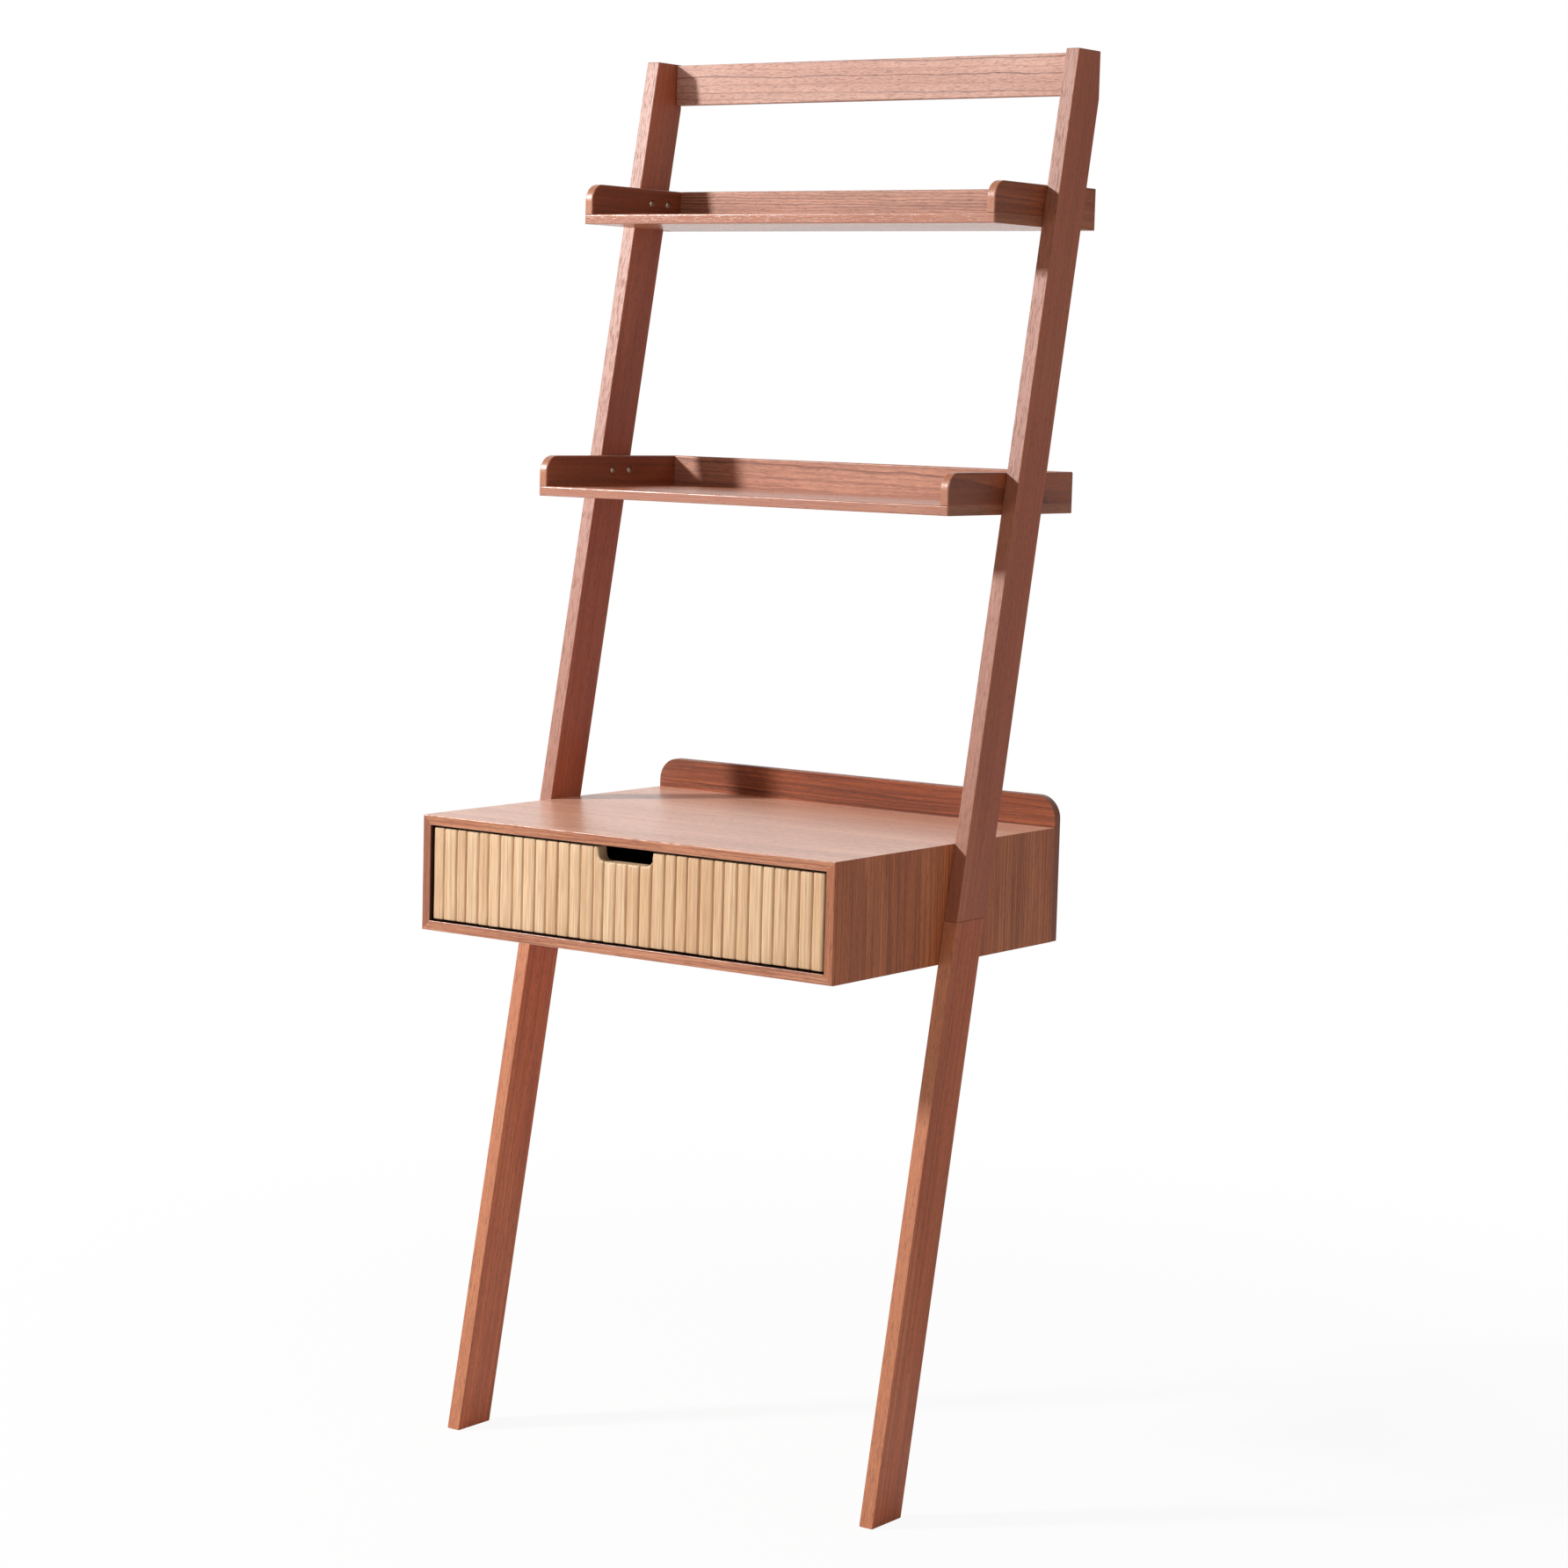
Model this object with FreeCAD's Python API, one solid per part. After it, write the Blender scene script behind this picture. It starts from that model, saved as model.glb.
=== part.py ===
import FreeCAD, Part
import math
import os

Vector = FreeCAD.Vector

# A leaning ladder desk with one drawer. Millimetres.
# X runs to the right, Y back towards the wall, Z up from the floor.
# The origin is on the floor, midway across the frame and midway between the desk's front and
# the wall.

# ---- Frame ----
HEIGHT = 1700.0             # floor to the tops of the stiles
FRAME_WIDTH = 637.0         # across the outer faces of the stiles
LEAN_ANGLE = 11.46          # degrees from upright
STILE_THICK = 18.5          # along X
STILE_WIDTH = 58.4          # square to the stile's length
STILE_EASE = 1.2            # rounding of the stiles' edges
WALL_CUT_HEIGHT = 56.0      # upright cut at each stile's top that lies flat on the wall
SEAM_RISE = 50.5            # joint of each stile's two lengths above the desk box's underside
RAIL_HEIGHT = 50.0
RAIL_THICK = 12.0
RAIL_DROP = 1.5             # rail's top below the stiles' tops
RAIL_END_GAP = 0.6          # joint line at each end of the rail
RAIL_EASE = 1.0

# ---- Foot pads, let into the feet ----
PAD_THICK = 3.0
PAD_PROUD = 0.5             # what stands out below the foot
PAD_MARGIN = 4.0            # wood left around the pad

# ---- Desk box ----
DESK_DEPTH = 478.0          # wall to the box's front edges
DESK_HEIGHT = 776.0         # floor to the desktop
BOX_HEIGHT = 139.0
PANEL_THICK = 12.0          # top, bottom and side panels
BACK_THICK = 12.0
UPSTAND_HEIGHT = 38.0       # back board above the desktop
UPSTAND_RADIUS = 28.0
PANEL_EASE = 1.2            # rounding of the box's front edges
BACK_EASE = 1.0             # rounding of the back board's edges
SPLINE_THICK = 2.4
SPLINE_WIDTH = 7.0
SPLINE_STOP = 25.0          # splines end this far behind the front
BACK_SCREW_MARGIN = 60.0    # outer back screws from the box's sides
BACK_SCREW_COUNT = 4        # along each of the top and bottom edges

# ---- Shelves ----
SHELF_BOARD = 12.0
SHELF_HEIGHT = 49.5         # underside to the rim
SHELF_RADIUS = 21.0         # upper front corner of the side boards
SHELF_EASE = 2.0            # rounding of the shelves' exposed edges
SHELF_SPACING = 335.0       # underside of the middle shelf to underside of the top one
MIDDLE_SHELF_DEPTH = 272.0
TOP_SHELF_DROP = 210.0      # stile tops to the top shelf's underside
TOP_SHELF_DEPTH = 193.0
SHELF_SCREW_INSET = 20.0    # side board screws from the shelf's front and rear edges
SHELF_BACK_SCREW_COUNT = 3
SHELF_BACK_SCREW_MARGIN = 90.0
PACKER_SCREW_LENGTH = 42.0
PACKER_SCREW_MARGIN = 9.5   # from the packer's top and underside

# ---- Drawer ----
DRAWER_RECESS = 2.0         # front of the reeds behind the box's front edges
DRAWER_SIDE_GAP = 2.8
DRAWER_TOP_GAP = 2.5
DRAWER_BOTTOM_GAP = 2.0
FRONT_THICK = 12.0          # backing board of the reeds
REED_COUNT = 33
REED_DEPTH = 5.0            # crest above the backing board
REED_SHOULDER = 1.2         # straight flank below each reed's round
REED_GAP = 0.3
NOTCH_WIDTH = 81.0          # finger notch, across its top
NOTCH_DEPTH = 16.5
NOTCH_RADIUS = 8.0
NOTCH_TAPER = 2.5           # how far each side leans in
NOTCH_OFFSET = 4.0          # to the right of the drawer's middle
DRAWER_REAR_GAP = 27.0      # between the drawer and the desk's back board
DRAWER_BOARD = 12.0
DRAWER_BOX_HEIGHT = 90.0
DRAWER_BOX_LIFT = 8.0       # drawer sides above the desk box's bottom panel
DRAWER_BOTTOM_THICK = 5.0
DRAWER_BOTTOM_RISE = 8.0    # groove above the drawer sides' lower edges
GROOVE_DEPTH = 5.0
LOWER_JOINT_RISE = 28.0     # lower dowels and screws above the drawer sides' lower edges
UPPER_JOINT_DROP = 14.0     # upper dowels and screws below their rims

# ---- Telescopic slides ----
SLIDE_REAR_GAP = 44.0       # between the slides and the desk's back board
SLIDE_WIDTH = 12.7          # gap between the desk box and the drawer
SLIDE_HEIGHT = 35.0
SLIDE_STEEL = 1.2
SLIDE_GAP = 0.3             # between nested members
SLIDE_SETBACK = 3.0         # behind the drawer's front
CABINET_LIP = 9.5           # reach of the cabinet member's lips from the wall of the box
MIDDLE_WEB = 3.2            # middle member's web from the wall of the box
MIDDLE_LIP = 11.0
DRAWER_LIP = 5.2            # tips of the drawer member's lips, from the wall of the box
SLIDE_SCREW_MARGIN = 45.0   # outer slide screws from the slide's ends
SLIDE_SCREW_COUNT = 3

# ---- Fasteners ----
FIT = 0.1                   # clearance of dowels, screws, bolts and pads in their holes
BOLT_RADIUS = 2.5
BOLT_HEAD_RADIUS = 4.2
BOLT_HEAD_HEIGHT = 4.5
BOLT_SINK = 0.5             # bolt heads below the board's face
BOLT_SOCKET = 4.0           # hexagon across its flats
BOLT_SOCKET_DEPTH = 2.5
COUNTERBORE_RADIUS = 5.2
BOLT_SPACING = 34.0         # each pair of bolts, across the stile
DESK_BOLT_MARGIN = 24.0     # desk bolts from the box's top and bottom
INSERT_RADIUS = 4.0
INSERT_LENGTH = 13.0
INSERT_SPARE = 1.5          # thread left beyond the bolt's tip
STUD_RADIUS = 4.0
STUD_LENGTH = 50.0
SEAM_DOWEL_LENGTH = 30.0
DOWEL_RADIUS = 3.0
DOWEL_CHAMFER = 0.8
RAIL_DOWEL_LENGTH = 24.0
RAIL_DOWEL_IN_STILE = 8.0
RAIL_DOWEL_SPACING = 30.0
FRONT_DOWEL_LENGTH = 24.0
FRONT_DOWEL_IN_FRONT = 8.0
CAM_RADIUS = 6.0
CAM_DEPTH = 9.5
CAM_FROM_END = 22.0
CAM_SLOT = 7.4
CAM_BOLT_RADIUS = 2.5
CAM_BOLT_HEAD = 3.4
CAM_BOLT_IN_STILE = 11.0
CAM_DRIVER_SLOT = 1.5
WOOD_SCREW_RADIUS = 1.7
WOOD_SCREW_HEAD = 3.5
WOOD_SCREW_HEAD_HEIGHT = 2.2
WOOD_SCREW_TIP = 3.0
BOX_SCREW_LENGTH = 32.0     # back board screws
SHELF_SCREW_LENGTH = 30.0
SLIDE_SCREW_HEAD = 3.0
SLIDE_SCREW_HEAD_HEIGHT = 1.4
SLIDE_SCREW_LENGTH = 10.0
HANGER_SPACING = 400.0
HANGER_LENGTH = 44.0
HANGER_HEIGHT = 20.0
HANGER_STEEL = 1.5
HANGER_POCKET_DEPTH = 4.5   # room behind the plate for a wall screw's head
KEYHOLE_HEAD_RADIUS = 4.5
KEYHOLE_SLOT_RADIUS = 2.3
KEYHOLE_RISE = 7.0          # from the head hole's centre to the slot's end
HANGER_SCREW_FROM_END = 5.0
HANGER_SCREW_LENGTH = 9.0
HANGER_SCREW_HEAD_HEIGHT = 1.4

# ---- Sizes that follow ----
WALL_Y = DESK_DEPTH / 2
DESK_FRONT = -DESK_DEPTH / 2
LEAN = math.radians(LEAN_ANGLE)
STILE_DEPTH = STILE_WIDTH / math.cos(LEAN)
WALL_CUT_BASE = HEIGHT - WALL_CUT_HEIGHT
STILE_AXIS = Vector(0, math.sin(LEAN), math.cos(LEAN))
INNER_HALF = FRAME_WIDTH / 2 - STILE_THICK
BOX_BOTTOM = DESK_HEIGHT - BOX_HEIGHT
SEAM_LEVEL = BOX_BOTTOM + SEAM_RISE
TOP_SHELF_LEVEL = HEIGHT - TOP_SHELF_DROP
MIDDLE_SHELF_LEVEL = TOP_SHELF_LEVEL - SHELF_SPACING
BOX_REAR = WALL_Y - BACK_THICK
CAVITY_HALF = INNER_HALF - PANEL_THICK
CAVITY_BOTTOM = BOX_BOTTOM + PANEL_THICK
CAVITY_TOP = DESK_HEIGHT - PANEL_THICK
FRONT_HALF = CAVITY_HALF - DRAWER_SIDE_GAP
FRONT_BOTTOM = CAVITY_BOTTOM + DRAWER_BOTTOM_GAP
FRONT_TOP = CAVITY_TOP - DRAWER_TOP_GAP
REED_BASE = DESK_FRONT + DRAWER_RECESS + REED_DEPTH
FRONT_REAR = REED_BASE + FRONT_THICK
DRAWER_HALF = CAVITY_HALF - SLIDE_WIDTH
DRAWER_INNER_HALF = DRAWER_HALF - DRAWER_BOARD
DRAWER_BASE = CAVITY_BOTTOM + DRAWER_BOX_LIFT
DRAWER_RIM = DRAWER_BASE + DRAWER_BOX_HEIGHT
DRAWER_REAR = BOX_REAR - DRAWER_REAR_GAP
SLIDE_LEVEL = (DRAWER_BASE + DRAWER_RIM) / 2
SLIDE_FRONT = FRONT_REAR + SLIDE_SETBACK
SLIDE_REAR = BOX_REAR - SLIDE_REAR_GAP
RAIL_TOP = HEIGHT - RAIL_DROP
RAIL_LEVEL = RAIL_TOP - RAIL_HEIGHT / 2
RAIL_MIDDLE_Y = WALL_Y - RAIL_THICK / 2
RAIL_HALF = INNER_HALF - RAIL_END_GAP
SHELF_BOLT_RISE = (SHELF_BOARD + SHELF_HEIGHT) / 2
SHELF_BOLT_LEVELS = [MIDDLE_SHELF_LEVEL + SHELF_BOLT_RISE, TOP_SHELF_LEVEL + SHELF_BOLT_RISE]
DESK_BOLT_LEVELS = [BOX_BOTTOM + DESK_BOLT_MARGIN, DESK_HEIGHT - DESK_BOLT_MARGIN]
SEAM_DOWEL_OFFSETS = [-BOLT_SPACING / 2, BOLT_SPACING / 2]
HANGER_PLACES = [-HANGER_SPACING / 2, HANGER_SPACING / 2]
CABINET_MEMBER_HALF = SLIDE_HEIGHT / 2
MIDDLE_MEMBER_HALF = CABINET_MEMBER_HALF - SLIDE_STEEL - SLIDE_GAP
DRAWER_MEMBER_HALF = MIDDLE_MEMBER_HALF - SLIDE_STEEL - SLIDE_GAP


# ---- Shapes ----
def block(x, y, z):
    """A box between pairs of limits."""
    corner = Vector(min(x), min(y), min(z))
    return Part.makeBox(abs(x[1] - x[0]), abs(y[1] - y[0]), abs(z[1] - z[0]), corner)


def turned(profile, start, direction):
    """A round solid from (distance, radius) points along an axis."""
    points = [Vector(radius, 0, distance) for distance, radius in profile]
    face = Part.Face(Part.makePolygon(points + [points[0]]))
    solid = face.revolve(Vector(0, 0, 0), Vector(0, 0, 1), 360)
    solid.Placement = FreeCAD.Placement(start, FreeCAD.Rotation(Vector(0, 0, 1), direction))
    return solid


def rod(start, direction, radius, length):
    return Part.makeCylinder(radius, length, start, direction)


def outline(corners):
    """A closed face through (point, radius) corners, each one rounded by its radius."""
    edges = []
    last = None
    first = None
    for index, (point, radius) in enumerate(corners):
        before = corners[index - 1][0]
        after = corners[(index + 1) % len(corners)][0]
        start = end = point
        if radius > 0:
            back = (before - point).normalize()
            on = (after - point).normalize()
            half_angle = back.getAngle(on) / 2
            reach = radius / math.tan(half_angle)
            start = point + back * reach
            end = point + on * reach
            inward = (back + on).normalize()
            middle = point + inward * (radius / math.sin(half_angle) - radius)
        if last is not None:
            edges.append(Part.LineSegment(last, start).toShape())
        else:
            first = start
        if radius > 0:
            edges.append(Part.Arc(start, middle, end).toShape())
        last = end
    edges.append(Part.LineSegment(last, first).toShape())
    return Part.Face(Part.Wire(edges))


def mirrored(shape):
    """The same piece for the other side of the desk."""
    return shape.mirror(Vector(0, 0, 0), Vector(1, 0, 0))


def both_sides(shapes):
    return shapes + [mirrored(shape) for shape in shapes]


def cut_all(shape, tools):
    return shape.cut(Part.makeCompound(tools))


def eased(shape, radius, chosen=None):
    """Rounds the chosen straight edges, or all of them."""
    edges = [edge for edge in shape.Edges if chosen is None or chosen(edge)]
    return shape.makeFillet(radius, edges)


def lies_at(edge, axis, value):
    """Whether both ends of an edge have this coordinate."""
    return all(abs(getattr(vertex.Point, axis) - value) < FIT for vertex in edge.Vertexes)


def spread(low, high, count):
    """Evenly spaced places from low to high."""
    return [low + (high - low) * step / (count - 1) for step in range(count)]


# ---- Fasteners ----
def dowel(start, direction, length, spare=0.0):
    radius = DOWEL_RADIUS + spare
    tip = radius - DOWEL_CHAMFER
    end = length + spare
    profile = [(-spare, 0), (-spare, tip), (DOWEL_CHAMFER - spare, radius),
               (end - DOWEL_CHAMFER, radius), (end, tip), (end, 0)]
    return turned(profile, start, direction)


def wood_screw(start, direction, length, spare=0.0):
    """A countersunk screw whose flat head lies at the start."""
    shank = WOOD_SCREW_RADIUS + spare
    profile = [(0, 0), (0, WOOD_SCREW_HEAD + spare), (WOOD_SCREW_HEAD_HEIGHT, shank),
               (length - WOOD_SCREW_TIP, shank), (length + spare, 0)]
    return turned(profile, start, direction)


def pan_screw(start, direction, head_height, length, spare=0.0):
    """A small pan-head screw: the start is the underside of its head."""
    shank = WOOD_SCREW_RADIUS + spare
    profile = [(-head_height, 0), (-head_height, SLIDE_SCREW_HEAD), (0, SLIDE_SCREW_HEAD), (0, shank),
               (length - WOOD_SCREW_TIP, shank), (length + spare, 0)]
    return turned(profile, start, direction)


def bolt_places(level):
    """Y and Z of a pair of bolts, one each side of the stile's middle line."""
    middle = stile_rear(level) - STILE_DEPTH / 2
    return [(middle + offset, level) for offset in (-BOLT_SPACING / 2, BOLT_SPACING / 2)]


def frame_bolt(place, board):
    """A socket-head bolt through a board on the right into the right stile."""
    y, z = place
    face = INNER_HALF - board
    reach = board - BOLT_SINK + INSERT_LENGTH - INSERT_SPARE
    profile = [(0, 0), (0, BOLT_HEAD_RADIUS), (BOLT_HEAD_HEIGHT, BOLT_HEAD_RADIUS),
               (BOLT_HEAD_HEIGHT, BOLT_RADIUS), (reach, BOLT_RADIUS), (reach, 0)]
    bolt = turned(profile, Vector(face + BOLT_SINK, y, z), Vector(1, 0, 0))
    corner = BOLT_SOCKET / math.sqrt(3)
    turns = [math.radians(60 * step) for step in range(7)]
    hexagon = [Vector(face, y + corner * math.sin(turn), z + corner * math.cos(turn)) for turn in turns]
    socket = Part.Face(Part.makePolygon(hexagon)).extrude(Vector(BOLT_SINK + BOLT_SOCKET_DEPTH, 0, 0))
    return bolt.cut(socket)


def frame_bolt_hole(place, board):
    """The counterbored hole of a frame bolt in its board."""
    y, z = place
    face = Vector(INNER_HALF - board, y, z)
    across = Vector(1, 0, 0)
    counterbore = rod(face, across, COUNTERBORE_RADIUS, BOLT_SINK + BOLT_HEAD_HEIGHT)
    return counterbore.fuse(rod(face, across, BOLT_RADIUS + FIT, board))


def insert_nut(place):
    y, z = place
    bore = BOLT_RADIUS + FIT
    profile = [(0, bore), (0, INSERT_RADIUS), (INSERT_LENGTH, INSERT_RADIUS), (INSERT_LENGTH, bore)]
    return turned(profile, Vector(INNER_HALF, y, z), Vector(1, 0, 0))


def insert_hole(place):
    y, z = place
    return rod(Vector(INNER_HALF, y, z), Vector(1, 0, 0), INSERT_RADIUS + FIT, INSERT_LENGTH + FIT)


# ---- Stiles ----
def stile_rear(level):
    """The leaning rear edge of the stiles at a level, before the cut at the wall."""
    return WALL_Y - math.tan(LEAN) * (WALL_CUT_BASE - level)


def stile_front(level):
    return stile_rear(level) - STILE_DEPTH


def stile_piece(corners):
    """A piece as thick as the right stile, from its (Y, Z) corners."""
    face = outline([(Vector(INNER_HALF, y, z), 0) for y, z in corners])
    return eased(face.extrude(Vector(STILE_THICK, 0, 0)), STILE_EASE)


def seam_rods(radius, length, offsets):
    """Round rods across the right stile's seam, along the stile."""
    middle = stile_rear(SEAM_LEVEL) - STILE_DEPTH / 2
    centre = INNER_HALF + STILE_THICK / 2
    starts = [Vector(centre, middle + offset, SEAM_LEVEL) - STILE_AXIS * (length / 2) for offset in offsets]
    return [rod(start, STILE_AXIS, radius, length) for start in starts]


def seam_holes():
    studs = seam_rods(STUD_RADIUS + FIT, STUD_LENGTH + 2 * FIT, [0])
    return studs + seam_rods(DOWEL_RADIUS + FIT, SEAM_DOWEL_LENGTH + 2 * FIT, SEAM_DOWEL_OFFSETS)


def upper_stile():
    corners = [(stile_front(SEAM_LEVEL), SEAM_LEVEL), (stile_rear(SEAM_LEVEL), SEAM_LEVEL),
               (WALL_Y, WALL_CUT_BASE), (WALL_Y, HEIGHT), (stile_front(HEIGHT), HEIGHT)]
    levels = SHELF_BOLT_LEVELS + [level for level in DESK_BOLT_LEVELS if level > SEAM_LEVEL]
    holes = [insert_hole(place) for level in levels for place in bolt_places(level)]
    holes += seam_holes() + rail_dowels(FIT) + [cam_bolt(FIT)] + packer_screws(FIT)
    return cut_all(stile_piece(corners), holes)


def lower_stile():
    corners = [(stile_front(PAD_PROUD), PAD_PROUD), (stile_rear(PAD_PROUD), PAD_PROUD),
               (stile_rear(SEAM_LEVEL), SEAM_LEVEL), (stile_front(SEAM_LEVEL), SEAM_LEVEL)]
    levels = [level for level in DESK_BOLT_LEVELS if level < SEAM_LEVEL]
    holes = [insert_hole(place) for level in levels for place in bolt_places(level)]
    return cut_all(stile_piece(corners), holes + seam_holes() + [foot_pad(FIT)])


def foot_pad(spare=0.0):
    """The anti-slip pad under the right foot, or its recess."""
    margin = PAD_MARGIN - spare
    across = (INNER_HALF + margin, INNER_HALF + STILE_THICK - margin)
    along = (stile_front(PAD_PROUD) + margin, stile_rear(PAD_PROUD) - margin)
    return block(across, along, (0, PAD_THICK + spare))


# ---- Top rail ----
def rail_dowels(spare=0.0):
    start = INNER_HALF + RAIL_DOWEL_IN_STILE
    levels = (RAIL_LEVEL - RAIL_DOWEL_SPACING / 2, RAIL_LEVEL + RAIL_DOWEL_SPACING / 2)
    places = [Vector(start, RAIL_MIDDLE_Y, level) for level in levels]
    return [dowel(place, Vector(-1, 0, 0), RAIL_DOWEL_LENGTH, spare) for place in places]


def cam_bolt(spare=0.0):
    """The bolt from the right stile into the rail's cam, or its hole."""
    length = CAM_BOLT_IN_STILE + RAIL_END_GAP + CAM_FROM_END
    start = Vector(INNER_HALF + CAM_BOLT_IN_STILE, RAIL_MIDDLE_Y, RAIL_LEVEL)
    shank = CAM_BOLT_RADIUS + spare
    neck = length - CAM_BOLT_HEAD
    profile = [(-spare, 0), (-spare, shank), (neck, shank), (neck, CAM_BOLT_HEAD + spare),
               (length + spare, CAM_BOLT_HEAD + spare), (length + spare, 0)]
    return turned(profile, start, Vector(-1, 0, 0))


def cam_lock():
    """The cam in the rail's rear face near its right end."""
    centre = RAIL_HALF - CAM_FROM_END
    body = rod(Vector(centre, WALL_Y - CAM_DEPTH, RAIL_LEVEL), Vector(0, 1, 0), CAM_RADIUS, CAM_DEPTH)
    half = CAM_SLOT / 2
    mouth = block((centre - half, centre + CAM_RADIUS), (RAIL_MIDDLE_Y - half, RAIL_MIDDLE_Y + half),
                  (RAIL_LEVEL - half, RAIL_LEVEL + half))
    slot_half = CAM_DRIVER_SLOT / 2
    slot = block((centre - half, centre + half), (WALL_Y - CAM_DRIVER_SLOT, WALL_Y),
                 (RAIL_LEVEL - slot_half, RAIL_LEVEL + slot_half))
    return body.cut(mouth).cut(slot)


def cam_lock_hole():
    centre = RAIL_HALF - CAM_FROM_END
    start = Vector(centre, WALL_Y - CAM_DEPTH - FIT, RAIL_LEVEL)
    return rod(start, Vector(0, 1, 0), CAM_RADIUS + FIT, CAM_DEPTH + FIT)


def hanger_outline(centre, y, spare=0.0):
    """The rounded outline of a keyhole plate on the rail's rear face."""
    half_length = HANGER_LENGTH / 2 + spare
    half_height = HANGER_HEIGHT / 2 + spare
    radius = HANGER_SCREW_FROM_END
    signs = ((-1, -1), (1, -1), (1, 1), (-1, 1))
    points = [Vector(centre + sx * half_length, y, RAIL_LEVEL + sz * half_height) for sx, sz in signs]
    return outline([(point, radius) for point in points])


def hanger_screws(centre, spare=0.0):
    offset = HANGER_LENGTH / 2 - HANGER_SCREW_FROM_END
    places = [Vector(centre + side * offset, WALL_Y, RAIL_LEVEL) for side in (-1, 1)]
    shank = WOOD_SCREW_RADIUS + spare
    profile = [(0, 0), (0, SLIDE_SCREW_HEAD + spare), (HANGER_SCREW_HEAD_HEIGHT, shank),
               (HANGER_SCREW_LENGTH - WOOD_SCREW_TIP, shank), (HANGER_SCREW_LENGTH + spare, 0)]
    return [turned(profile, place, Vector(0, -1, 0)) for place in places]


def hanger_plate(centre):
    plate = hanger_outline(centre, WALL_Y - HANGER_STEEL).extrude(Vector(0, HANGER_STEEL, 0))
    through = Vector(0, 1, 0)
    low = RAIL_LEVEL - KEYHOLE_RISE / 2
    head = rod(Vector(centre, WALL_Y - HANGER_STEEL, low), through, KEYHOLE_HEAD_RADIUS, HANGER_STEEL)
    end = rod(Vector(centre, WALL_Y - HANGER_STEEL, low + KEYHOLE_RISE), through, KEYHOLE_SLOT_RADIUS,
              HANGER_STEEL)
    neck = block((centre - KEYHOLE_SLOT_RADIUS, centre + KEYHOLE_SLOT_RADIUS),
                 (WALL_Y - HANGER_STEEL, WALL_Y), (low, low + KEYHOLE_RISE))
    return cut_all(plate, [head, end, neck] + hanger_screws(centre, FIT))


def hanger_recess(centre):
    """The plate's seat in the rail, and the pocket behind its keyhole."""
    seat = hanger_outline(centre, WALL_Y - HANGER_STEEL, FIT).extrude(Vector(0, HANGER_STEEL, 0))
    low = RAIL_LEVEL - KEYHOLE_RISE / 2
    floor_y = WALL_Y - HANGER_STEEL - HANGER_POCKET_DEPTH
    pocket = block((centre - KEYHOLE_HEAD_RADIUS, centre + KEYHOLE_HEAD_RADIUS), (floor_y, WALL_Y),
                   (low - KEYHOLE_HEAD_RADIUS, low + KEYHOLE_RISE + KEYHOLE_HEAD_RADIUS))
    return [seat, pocket] + hanger_screws(centre, FIT)


def top_rail():
    rail = eased(block((-RAIL_HALF, RAIL_HALF), (WALL_Y - RAIL_THICK, WALL_Y),
                       (RAIL_TOP - RAIL_HEIGHT, RAIL_TOP)), RAIL_EASE)
    holes = both_sides(rail_dowels(FIT) + [cam_bolt(FIT), cam_lock_hole()])
    for centre in HANGER_PLACES:
        holes += hanger_recess(centre)
    return cut_all(rail, holes)


# ---- Desk box ----
def box_splines():
    """A strip in each mitre of the desk box, square to the mitre."""
    strips = []
    corner_x = INNER_HALF - PANEL_THICK / 2
    corners = ((DESK_HEIGHT - PANEL_THICK / 2, 45), (BOX_BOTTOM + PANEL_THICK / 2, -45))
    for corner_z, angle in corners:
        strip = block((-SPLINE_WIDTH / 2, SPLINE_WIDTH / 2), (DESK_FRONT + SPLINE_STOP, BOX_REAR),
                      (-SPLINE_THICK / 2, SPLINE_THICK / 2))
        strip.rotate(Vector(0, 0, 0), Vector(0, 1, 0), angle)
        strip.translate(Vector(corner_x, 0, corner_z))
        strips.append(strip)
    return both_sides(strips)


def box_panel(corners):
    """A mitred panel from (X, Z) corners, with its front edges eased."""
    face = outline([(Vector(x, DESK_FRONT, z), 0) for x, z in corners])
    panel = face.extrude(Vector(0, BOX_REAR - DESK_FRONT, 0))

    def long_front_edge(edge):
        ends = [vertex.Point for vertex in edge.Vertexes]
        straight = min(abs(ends[0].x - ends[1].x), abs(ends[0].z - ends[1].z)) < FIT
        return straight and lies_at(edge, "y", DESK_FRONT)

    return eased(panel, PANEL_EASE, long_front_edge)


def level_panel(outer_z, inner_z):
    panel = box_panel([(-INNER_HALF, outer_z), (INNER_HALF, outer_z), (CAVITY_HALF, inner_z),
                       (-CAVITY_HALF, inner_z)])
    return cut_all(panel, box_splines() + back_screws(FIT))


def side_panel():
    panel = box_panel([(INNER_HALF, BOX_BOTTOM), (INNER_HALF, DESK_HEIGHT), (CAVITY_HALF, CAVITY_TOP),
                       (CAVITY_HALF, CAVITY_BOTTOM)])
    places = [place for level in DESK_BOLT_LEVELS for place in bolt_places(level)]
    holes = [frame_bolt_hole(place, PANEL_THICK) for place in places]
    return cut_all(panel, holes + box_splines() + slide_screws_in_box(FIT))


def back_screws(spare=0.0):
    """Screws through the back board into the rear edges of the top and bottom panels."""
    half = INNER_HALF - BACK_SCREW_MARGIN
    levels = (BOX_BOTTOM + PANEL_THICK / 2, DESK_HEIGHT - PANEL_THICK / 2)
    places = [Vector(x, WALL_Y, z) for z in levels for x in spread(-half, half, BACK_SCREW_COUNT)]
    return [wood_screw(place, Vector(0, -1, 0), BOX_SCREW_LENGTH, spare) for place in places]


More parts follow.
